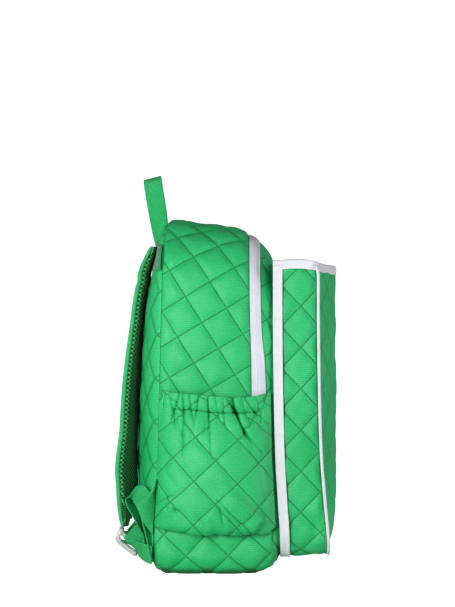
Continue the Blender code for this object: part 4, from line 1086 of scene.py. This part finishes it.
def foldHeight(y, z):
    # every fold is a sharp valley with a softer ridge beside it
    total = 0.0
    for *line, depth, width in pocketFolds:
        along, beside = alongFold(y, z, *line)
        ends = ease(along, -0.25, 0.2) * (1 - ease(along, 0.7, 1.3))
        valley = np.exp(-((np.abs(beside) / width) ** 1.4))
        ridge = 0.55 * np.exp(-(((beside - 1.9 * width) / (1.5 * width)) ** 2))
        total = total + depth * ends * (ridge - valley)
    return total


def flapHeight(y, z):
    total = 0.0
    for *line, rise, sharp, flat, fade in cornerFlaps:
        along, beside = alongFold(y, z, *line)
        ends = ease(along, -0.12, 0.08) * (1 - ease(along, 0.75, 1.35))
        total = total + rise * ends * ease(-beside, 0, sharp) * (1 - ease(-beside, flat, fade))
    return total


def gatherHeight(place, z, hem):
    # cloth drawn in by the elastic: sharp valleys in the hem, which fan out and fade below its stitches
    stitch = hem - pocket["hem"]
    below, above = np.maximum(0, stitch - z), np.maximum(0, z - stitch)
    total = 0.0
    for at, deep, long, slope in gathers:
        lean = pocket["fan"] * below * (0.45 - at) * 2 - slope * (hem - 0.010 - z) * 1.6
        beside = np.abs(place - at + lean) / (pocket["gatherWidth"] * (1 + below * 26))
        fade = np.exp(-((below / (pocket["gatherReach"] * long)) ** 2))
        total = total + deep * fade * np.exp(-(beside**1.3)) * (1 - 0.35 * ease(above, 0.010, 0.020))
    return pocket["gatherDepth"] * total


def alongCloth(first, second, axis):
    # the length of cloth along an axis of the grid, set to second's own value in the middle
    steps = np.hypot(np.diff(first, axis=axis), np.diff(second, axis=axis))
    steps = steps * np.sign(np.diff(second, axis=axis)) if axis else steps
    total = np.cumsum(steps, axis=axis)
    total = np.insert(total, 0, 0, axis=axis)
    middle = [second.shape[axis] // 2]
    return total - np.take(total, middle, axis) + np.take(second, middle, axis)


def makePocket(side, sign, material):
    up, bulge, drop = (column[:, None] for column in alongTable(pocketRows, pocket["rows"]))
    place = np.linspace(0, 1, pocket["columns"])[None, :]
    easeIn = np.maximum(0, 1 - np.abs(2 * place - 1) ** 3.4)
    z = pocket["base"] + (pocket["top"] - pocket["base"]) * up - pocket["overhang"] * drop * easeIn
    z = z - curveThrough(baseLine, place) * (1 - ease(up, 0.02, 0.16)) * ease(drop + up * 9, 0, 0.5)
    hem = curveThrough(hemLine, place)
    z = z + (hem - pocket["top"]) * np.maximum(0, (up - 0.72) / 0.28)
    drawn = gatherHeight(place, z, hem)
    out = np.maximum(0.0008, (pocket["bulge"] * bulge - drawn) * easeIn)
    # between the gathers the hem's edge stands up in small waves
    waves = (0.55 - drawn / pocket["gatherDepth"]) * ease(up, 0.86, 1.0)
    z = z + pocket["ruffle"] * waves * np.minimum(1, easeIn * 2)
    depth = pocket["back"] + (pocket["front"] - pocket["back"]) * place
    x = halfWidthAt(depth, z) + 0.0012 + out
    y = bodyY(depth, z)
    # the quilting follows the cloth round the bulge, so it is measured along it
    around, climb = alongCloth(x, y, 1), alongCloth(x, z, 0)
    p, q = latticePlace(0.5 * (around + y), 0.5 * (climb + z), "pocket")
    flattened = 0.7 * ease(z, hem - 0.036, hem - 0.018)
    quilted = ease(np.minimum(place, 1 - place) * 0.14, 0, 0.010) * (1 - flattened)
    puff = pocket["puff"] * quiltHeight(p, q) * quilted + 0.0015 * softNoise(y, z, 21, 0.045) * easeIn
    puff = puff + foldHeight(y, z) * easeIn + flapHeight(y, z) * np.minimum(1, easeIn * 2)
    puff = puff - pocket["hemDip"] * np.exp(-(((z - hem + pocket["hem"]) / 0.0020) ** 2)) * easeIn
    points = raised(stacked(x * sign, y, z), (sign, 0, 0), puff + 0.0008)
    points, cloth, quilt = (grid[:, ::sign] for grid in (points, stacked(around, climb), stacked(p, q)))
    made = gridPiece(f"pocket_quilted_{side}", points, material, cloth, quilt, pocket["wall"])
    return finishPiece(made, "quilted_nylon", f"side_pocket_{side}")


# Haul loop and webbing.

webbing = {"width": 0.025, "thickness": 0.0016}
haulLoop = {
    "width": 0.024,
    "thickness": 0.0024,
    "span": 0.066,
    "rise": 0.088,
    "lean": 0.007,
    "sewn": 0.0315,  # below the body's top
}
haulRows = [  # across, rise, lean, turn in degrees, slant
    (0.84, -0.04, -0.55, 34.0, 0.00),
    (0.90, 0.12, -0.42, 52.0, 0.00),
    (0.95, 0.28, -0.20, 68.0, 0.00),
    (0.99, 0.48, 0.15, 82.0, 0.02),
    (1.00, 0.70, 0.60, 90.0, 0.06),
    (0.95, 0.90, 1.00, 90.0, 0.16),
    (0.78, 0.975, 1.12, 90.0, 0.24),
    (0.40, 1.00, 1.14, 90.0, 0.26),
    (0.00, 1.005, 1.15, 90.0, 0.26),
]


def makeHaulLoop(material):
    across, rise, lean, turn, slant = alongTable(haulRows, 70)
    sewn = body["height"] - haulLoop["sewn"]
    foot = backSurface(0.0, sewn, 0.15)[0] + 0.0004 + haulLoop["thickness"]
    x, y, z = -haulLoop["span"] / 2 * across, foot + haulLoop["lean"] * lean, sewn + haulLoop["rise"] * rise
    path = stacked(x, y, z)
    ways = stacked(np.cos(np.radians(turn)), np.sin(np.radians(turn)), -slant)
    path, ways = (np.concatenate([half, half[-2::-1] * (-1, 1, 1)]) for half in (path, ways))
    section = bandSection(haulLoop["width"], haulLoop["thickness"])
    made = sweep("haul_loop_webbing", path, ways, section, material)
    return finishPiece(made, "green_webbing", "haul_loop")


# Shoulder straps.

strap = {
    "width": 0.066,
    "thickness": 0.0042,
    "mesh": 0.0052,
    "meshWidth": 0.063,
    "spread": 0.086,
    "lift": 0.0185,
    "top": 0.424,
    "rows": 170,
    "columns": 34,
    "edgeBand": 0.0058,
    "puff": 0.55,
    "quilt": 0.72,  # the size of its diamonds, as a share of the body's
    "seat": 0.0008,
}
strapRows = [  # height, spread, width, thick, lift, tilt in degrees
    (1.010, 0.50, 0.86, 0.45, 0.00, 2.0),
    (0.992, 0.51, 0.94, 0.80, 0.00, 2.2),
    (0.945, 0.53, 1.00, 1.00, 0.00, 3.8),
    (0.875, 0.57, 1.00, 1.00, 0.00, 5.2),
    (0.785, 0.63, 1.00, 1.00, 0.00, 5.4),
    (0.690, 0.70, 1.00, 1.00, 0.00, 7.7),
    (0.570, 0.79, 1.00, 1.00, 0.00, 10.3),
    (0.450, 0.88, 1.00, 1.00, 0.00, 11.4),
    (0.360, 0.95, 1.00, 1.00, 0.00, 15.2),
    (0.290, 0.99, 0.97, 1.00, 0.02, 17.4),
    (0.220, 1.00, 0.86, 1.00, 0.32, 14.2),
    (0.170, 1.00, 0.64, 0.85, 0.73, 9.0),
    (0.142, 1.00, 0.46, 0.60, 1.00, 5.0),
]


def strapFrame(sign):
    # outer edge, the way in across the strap, the way out of its face, width and share of its thickness
    height, spread, width, thick, lift, tilt = alongTable(strapRows, strap["rows"])
    tilt = np.radians(tilt)
    width = strap["width"] * width
    z = strap["top"] * height
    innerX = strap["spread"] * spread - width / 2 * np.cos(tilt)
    seat = backSurface(innerX, z, halfWidthAt(0.0, z))[0] + strap["seat"]
    yokeLow = body["height"] - yoke["belowTop"] - yoke["height"]
    seat = seat + (yoke["wall"] + yoke["gap"] + 0.0004) * ease(z, yokeLow - 0.016, yokeLow - 0.004)
    depth = (strap["thickness"] + strap["mesh"]) * thick + strap["seat"]
    y = seat + strap["lift"] * lift + depth + width * np.sin(tilt)
    edge = stacked(sign * (innerX + width * np.cos(tilt)), y, z)
    way = stacked(-sign * np.cos(tilt), -np.sin(tilt), 0)
    out = stacked(-sign * np.sin(tilt), np.cos(tilt), 0)
    return edge[:, None], way[:, None], out[:, None], width[:, None], thick[:, None]


def strapSlab(name, sign, low, high, margin, material, quilted=False):
    # a soft slab between two depths below the strap's outer face, with round long edges
    edge, way, out, width, thick = strapFrame(sign)
    columns = strap["columns"]
    shares = np.linspace(0, 1, columns)
    turn = np.linspace(0, math.pi, 9)[1:-1]
    across = margin + (width - 2 * margin) * shares
    radius = (high - low) * thick / 2
    faces = [stacked(across, low * thick), stacked(across[:, ::-1], high * thick)]
    rims = []
    for start, outward in ((width - margin, 1), (margin, -1)):
        bulge = outward * radius * np.sin(turn) * 0.8
        rims.append(stacked(start + bulge, low * thick + radius - outward * radius * np.cos(turn)))
    ring = np.concatenate([faces[0], rims[0], faces[1], rims[1], faces[0][:, :1]], axis=1)
    length = lengthAlong(edge)
    step = diamond["side"] * strap["quilt"]
    p, q = (ring[..., 0] + length) / step, (ring[..., 0] - length) / step
    lift = np.zeros(ring.shape[:2])
    if quilted:
        inward = np.minimum(shares, 1 - shares) * strap["width"]
        lift[:, :columns] = quiltHeight(p, q)[:, :columns] * strap["puff"] * ease(inward, 0.003, 0.010)
    else:
        lift[:, columns + 7 : 2 * columns + 7] = -0.0012 * (1 - (2 * shares - 1) ** 6)
    lift[:, -1] = lift[:, 0]
    points = edge + way * ring[..., :1] - out * (ring[..., 1:] - lift[..., None])
    return tubeMesh(name, points, material, stacked(lengthAlong(ring, 1), length), stacked(p, q))


def makeStrapEdge(name, sign, outer, material):
    # cloth tape folded over the strap's long edge
    edge, way, out, width, thick = strapFrame(sign)
    total = strap["thickness"] * thick
    radius = total / 2 + 0.0007
    turn = np.linspace(0, math.pi, 11)
    flat = np.linspace(strap["edgeBand"], 0.0022, 3) + 0 * total
    across = np.concatenate([flat, 0.0022 - radius * np.sin(turn) * 0.9, flat[:, -1:]], axis=1)
    deep = np.concatenate([0 * flat - 0.0007, total / 2 - radius * np.cos(turn), total + 0.0003], axis=1)
    place = across if outer else width - across
    points = edge + way * place[..., None] - out * deep[..., None]
    cloth = stacked(lengthAlong(points, 1), lengthAlong(edge))
    made = gridPiece(name, points, material, cloth, None, 0.0007, 0.0)
    return finishPiece(made, "green_webbing")


def makeStrap(side, sign, cloth, mesh, band):
    pad = strapSlab(f"strap_pad_{side}", sign, 0.0, strap["thickness"], 0.0022, cloth, True)
    finishPiece(pad, "quilted_nylon", f"strap_{side}")
    margin = (strap["width"] - strap["meshWidth"]) / 2 + 0.0012
    start = strap["thickness"] + 0.0009
    end = start + strap["mesh"] - 0.0002
    knitted = strapSlab(f"strap_spacer_mesh_{side}", sign, start, end, margin, mesh)
    finishPiece(knitted, "spacer_mesh", f"strap_mesh_{side}")
    makeStrapEdge(f"strap_edge_tape_outer_{side}", sign, True, band)
    makeStrapEdge(f"strap_edge_tape_inner_{side}", sign, False, band)


# Buckles, lower webs and tails.

buckle = {
    "length": 0.036,
    "bar": 0.0046,
    "slack": 0.0016,
    "height": 0.040,
    "melt": 0.0007,  # the size of the steps that its bars are melted together in
}
buckleBend = [(0.45, 0.002), (0.14, 0.008), (-0.20, -0.003), (-0.46, -0.016)]  # up as a share, and out
lowerWeb = {"corner": 0.025, "bow": 0.005}
webRows = [  # along, out, back, face out, face back, face up
    (0.00, 0.0, 0.0, 0.00, 0.20, 1.00),
    (0.20, 0.5, 0.3, 0.14, 0.10, 0.98),
    (0.45, 0.9, 0.3, 0.55, 0.05, 0.80),
    (0.67, 0.6, 0.0, 0.92, 0.00, 0.35),
    (0.88, 0.2, 0.0, 1.00, 0.00, 0.08),
    (1.00, 0.0, 0.0, 1.00, 0.00, 0.00),
]
# The tail's near edge, from the buckle up over its fold and down to the seam, and the way across it. The table
# is for the side at -X and is mirrored for the other.
tailRows = [  # near edge x, y, z and the way across x, y, z
    (-0.0960, 0.1160, 0.0440, 0.25, -0.62, 0.78),
    (-0.1060, 0.1080, 0.0400, 0.35, -0.52, 0.78),
    (-0.1180, 0.0960, 0.0375, 0.55, -0.25, 0.80),
    (-0.1290, 0.0880, 0.0420, 0.90, -0.10, 0.35),
    (-0.1360, 0.0895, 0.0510, 0.98, -0.16, 0.05),
    (-0.1400, 0.0935, 0.0590, 0.97, -0.22, 0.05),
    (-0.1430, 0.0998, 0.0699, 0.90, -0.40, 0.12),
    (-0.1440, 0.1057, 0.0799, 0.84, -0.50, 0.20),
    (-0.1450, 0.1108, 0.0890, 0.88, -0.40, 0.25),
    (-0.1450, 0.1122, 0.0960, 0.88, -0.32, 0.34),
    (-0.1450, 0.1077, 0.0994, 0.62, -0.48, 0.62),
    (-0.1455, 0.1028, 0.0968, 0.30, -0.62, 0.72),
    (-0.1460, 0.0985, 0.0898, 0.12, -0.66, 0.74),
    (-0.1470, 0.0943, 0.0809, 0.60, -0.52, 0.40),
    (-0.1475, 0.0913, 0.0699, 0.88, -0.42, 0.05),
    (-0.1475, 0.0873, 0.0540, 0.90, -0.40, 0.00),
    (-0.1475, 0.0839, 0.0401, 0.93, -0.34, 0.00),
    (-0.1470, 0.0800, 0.0240, 0.98, -0.15, 0.00),
]


def bucklePlace(sign):
    edge, way, out, width, thick = (part[-1, 0] for part in strapFrame(sign))
    end = edge + way * width / 2 - out * strap["thickness"] * thick / 2
    return np.array([end[0], end[1], buckle["height"]])


def barTube(path, ways, width, thickness):
    across, out = roundedSquare(16, width, thickness, 0.6)
    flat, square = acrossPath(path, ways)
    return path[:, None] + flat[:, None] * across[:, None] + square[:, None] * out[:, None]


def makeBuckle(side, sign, material):
    centre = bucklePlace(sign)
    bar = buckle["bar"]
    half = webbing["width"] / 2 + bar + buckle["slack"] / 2
    up, back = alongTable(buckleBend, 19)
    tubes = []
    for x in (bar / 2 - half, half - bar / 2):
        path = centre + stacked(x, back, buckle["length"] * up)
        tubes.append(barTube(path, (1.0, 0.0, 0.0), bar * 0.8, bar * 1.35))
    bends = [np.array([b, buckle["length"] * u]) for u, b in buckleBend]
    across = np.linspace(bar * 0.4 - half, half - bar * 0.4, 9)
    for y, z in (bends[0], (bends[1] + bends[2]) / 2, bends[3]):
        tubes.append(barTube(centre + stacked(across, y, z), (0.0, 1.0, 0.6), bar, bar * 0.7))
    faces = []
    first = 0
    for tube in tubes:
        rings, sides = tube.shape[:2]
        for start in range(first, first + (rings - 1) * sides, sides):
            faces += bridge(start, start + sides, sides)
        faces.append(tuple(range(first, first + sides))[::-1])
        first += rings * sides
        faces.append(tuple(range(first - sides, first)))
    points = np.concatenate([tube.reshape(-1, 3) for tube in tubes])
    made = addMesh(f"ladder_buckle_{side}", points, faces, material)
    melt = made.modifiers.new("melt", "REMESH")
    melt.mode = "VOXEL"
    melt.voxel_size = buckle["melt"]
    melt.use_smooth_shade = True
    soften = made.modifiers.new("soften", "SMOOTH")
    soften.factor = 0.6
    soften.iterations = 6
    return finishPiece(made, "clear_acetal", f"buckle_{side}")


def makeLowerWeb(side, sign, material):
    corner = lowerWeb["corner"]
    cornerX = halfWidthAt(0.0, corner + webbing["width"] / 2) + webbing["thickness"] + 0.0004
    start = np.array([sign * cornerX, bodyY(0.0, corner) + 0.0016, corner])
    end = bucklePlace(sign) + (0, -buckle["bar"] * 0.56, -buckle["bar"] * 0.3)
    along, out, back, faceX, faceY, faceZ = alongTable(webRows, 46)
    path = start + (end - start) * along[:, None] + stacked(sign * out, back, 0) * lowerWeb["bow"]
    section = bandSection(webbing["width"], webbing["thickness"])
    made = sweep(f"lower_webbing_{side}", path, stacked(sign * faceX, faceY, faceZ), section, material)
    return finishPiece(made, "green_webbing", f"lower_web_{side}")


def makeTail(side, sign, material):
    x, y, z, wayX, wayY, wayZ = alongTable(tailRows, 120)
    ways = unit(stacked(-sign * wayX, wayY, wayZ))
    path = stacked(-sign * x, y, z) + ways * webbing["width"] / 2
    section = bandSection(webbing["width"], webbing["thickness"], 12)
    made = sweep(f"webbing_tail_{side}", path, ways, section, material)
    return finishPiece(made, "green_webbing", f"web_tail_{side}")


tab = {"thickness": 0.0020, "lift": 0.0052, "curl": 0.004, "columns": 24, "rows": 60, "hem": 0.0008}
tabRows = [  # height, reach behind the seam
    (0.0540, 0.0020),
    (0.0650, 0.0105),
    (0.0759, 0.0170),
    (0.0849, 0.0212),
    (0.0898, 0.0235),
    (0.0938, 0.0195),
    (0.0998, 0.0130),
    (0.1057, 0.0074),
    (0.1127, 0.0028),
    (0.1197, 0.0008),
    (0.1236, 0.0003),
]


def makeTab(side, sign, material, edgeMaterial):
    z = np.linspace(tabRows[0][0], tabRows[-1][0], tab["rows"])[:, None]
    share = np.linspace(0, 1, tab["columns"])
    # it stands off the side and curls a little towards its free edge
    off = tab["lift"] * share * ease(z, 0.056, 0.085)
    curl = tab["curl"] * np.sin(share * math.pi * 0.8) * ease(z, 0.06, 0.09)
    x = sign * (halfWidthAt(0.0, z) + 0.0010 + tab["thickness"] / 2 + off + curl)
    y = bodyY(0.0, z) + 0.0004 + curveThrough(tabRows, z) * share
    points = stacked(x, y, z)
    quilt = stacked(*latticePlace(y * 0.4, z * 0.4, "pocket"))
    name = f"anchor_tab_cloth_{side}"
    made = gridPiece(name, points, material, stacked(y, z), quilt, tab["thickness"], 0.0)
    finishPiece(made, "quilted_nylon", f"anchor_tab_{side}")
    # its upper edge is folded and stitched
    corner = int(np.argmax(curveThrough(tabRows, z[:, 0])))
    path = points[corner:, -1] + (sign * 0.0006, 0.0003, 0.0003)
    hem = sweep(f"anchor_tab_hem_{side}", path, (1.0, 0.2, 0.0), roundSection(tab["hem"], 8), edgeMaterial)
    return finishPiece(hem, "green_webbing")


# Stage.

lights = {  # place, size, power, looks at
    "cameraSoftbox": ((-2.0, 1.0, 0.55), 0.9, 36.5, (0, 0.02, 0.25)),
    "frontSoftbox": ((-0.7, -3.4, 0.9), 1.6, 38.0, (0, 0, 0.25)),
}
studio = {"backdrop": 1.0, "fill": 0.22, "floorGlow": 0.86, "floorRadius": 6.0}
camera = {"distance": 5.0, "near": -0.15, "imageHeight": 607, "imageWidth": 455}


def makeStage():
    # a pale matt floor, large enough for its far edge to be lost in the white
    made, tree, shader = newMaterial("paintedFloor", {"Roughness": 0.9, "Specular IOR Level": 0.0})
    flow = addNode(tree, "TexCoord", {})
    grain = addNode(tree, "TexNoise", {"Scale": 60.0}, {"Vector": flow.outputs["Object"]})
    tone = addNode(tree, "Mix", {"data_type": "RGBA", 6: "f4f4f4", 7: "f8f8f8"}, {0: grain})
    # the paper sweep is lit from behind for the camera alone, so the bag's base stays dark
    seen = addNode(tree, "LightPath", {})
    glow = addNode(tree, "Math", {"operation": "MULTIPLY", 1: studio["floorGlow"]}, {0: seen})
    setInput(shader, "Emission Color", "ffffff")
    connect(tree, shader, {"Base Color": tone, "Emission Strength": glow})
    rim = stacked(*roundSection(studio["floorRadius"], 64).T, 0)
    addMesh("floor", rim, [tuple(range(64))], made, smooth=False)


def makeLights():
    for name, (place, size, power, target) in lights.items():
        data = bpy.data.lights.new(name, "AREA")
        data.shape = "DISK"
        data.size = size
        data.energy = power
        lamp = addObject(name, data)
        lamp.location = place
        lamp.rotation_mode = "QUATERNION"
        lamp.rotation_quaternion = (Vector(target) - Vector(place)).to_track_quat("-Z", "Y")
    # a white backdrop which lights the bag less than it shows
    world = bpy.data.worlds.new("studio")
    world.use_nodes = True
    tree = world.node_tree
    background = tree.nodes["Background"]
    seen = addNode(tree, "LightPath", {})
    levels = {"To Min": studio["fill"], "To Max": studio["backdrop"]}
    strength = addNode(tree, "MapRange", levels, {"Value": seen})
    setInput(background, "Color", "ffffff")
    connect(tree, background, {"Strength": strength})
    bpy.context.scene.world = world
    bpy.context.scene.view_settings.view_transform = "Standard"
    bpy.context.scene.view_settings.look = "Medium High Contrast"


def makeCamera():
    # square to the bag's side, with the photograph's middle in the middle
    data = bpy.data.cameras.new("camera")
    made = addObject("camera", data)
    y = -(camera["imageWidth"] / 2 - photo["column"]) * photo["scale"]
    z = (photo["row"] - camera["imageHeight"] / 2) * photo["scale"]
    made.location = (camera["near"] - camera["distance"], y, z)
    made.rotation_euler = (math.pi / 2, 0, -math.pi / 2)
    data.sensor_width = 36
    data.lens = data.sensor_width * camera["distance"] / (camera["imageHeight"] * photo["scale"])
    data.clip_end = 100
    bpy.context.scene.camera = made


# Build it.

quilted = makeQuiltedCloth()
green, edgeTape, yokeWeb, grosgrain, zipCloth = (makeWebbing(name) for name in webbings)
knit = makeSpacerMesh()
acetal = makeAcetal()
nickel = makeNickel()
makeBody(quilted)
makeFrontWall(quilted)
makeBackPad(quilted)
makeYoke(yokeWeb)
print("body and back panel made")
makeZip(zipCloth)
makeSlider(nickel)
makeSleeveFront(quilted)
makeSleeveGusset(quilted)
makeSleeveBack(quilted)
makeSeamBinding(grosgrain)
makePiping(grosgrain)
makeMouthBinding(grosgrain)
print("zip and sleeve made")
for side, sign in (("left", -1), ("right", 1)):
    makePocket(side, sign, quilted)
    makeStrap(side, sign, quilted, knit, edgeTape)
    makeBuckle(side, sign, acetal)
    makeLowerWeb(side, sign, green)
    makeTail(side, sign, green)
    makeTab(side, sign, green, edgeTape)
makeHaulLoop(green)
print("pockets, straps and webbing made")
makeStage()
makeLights()
makeCamera()
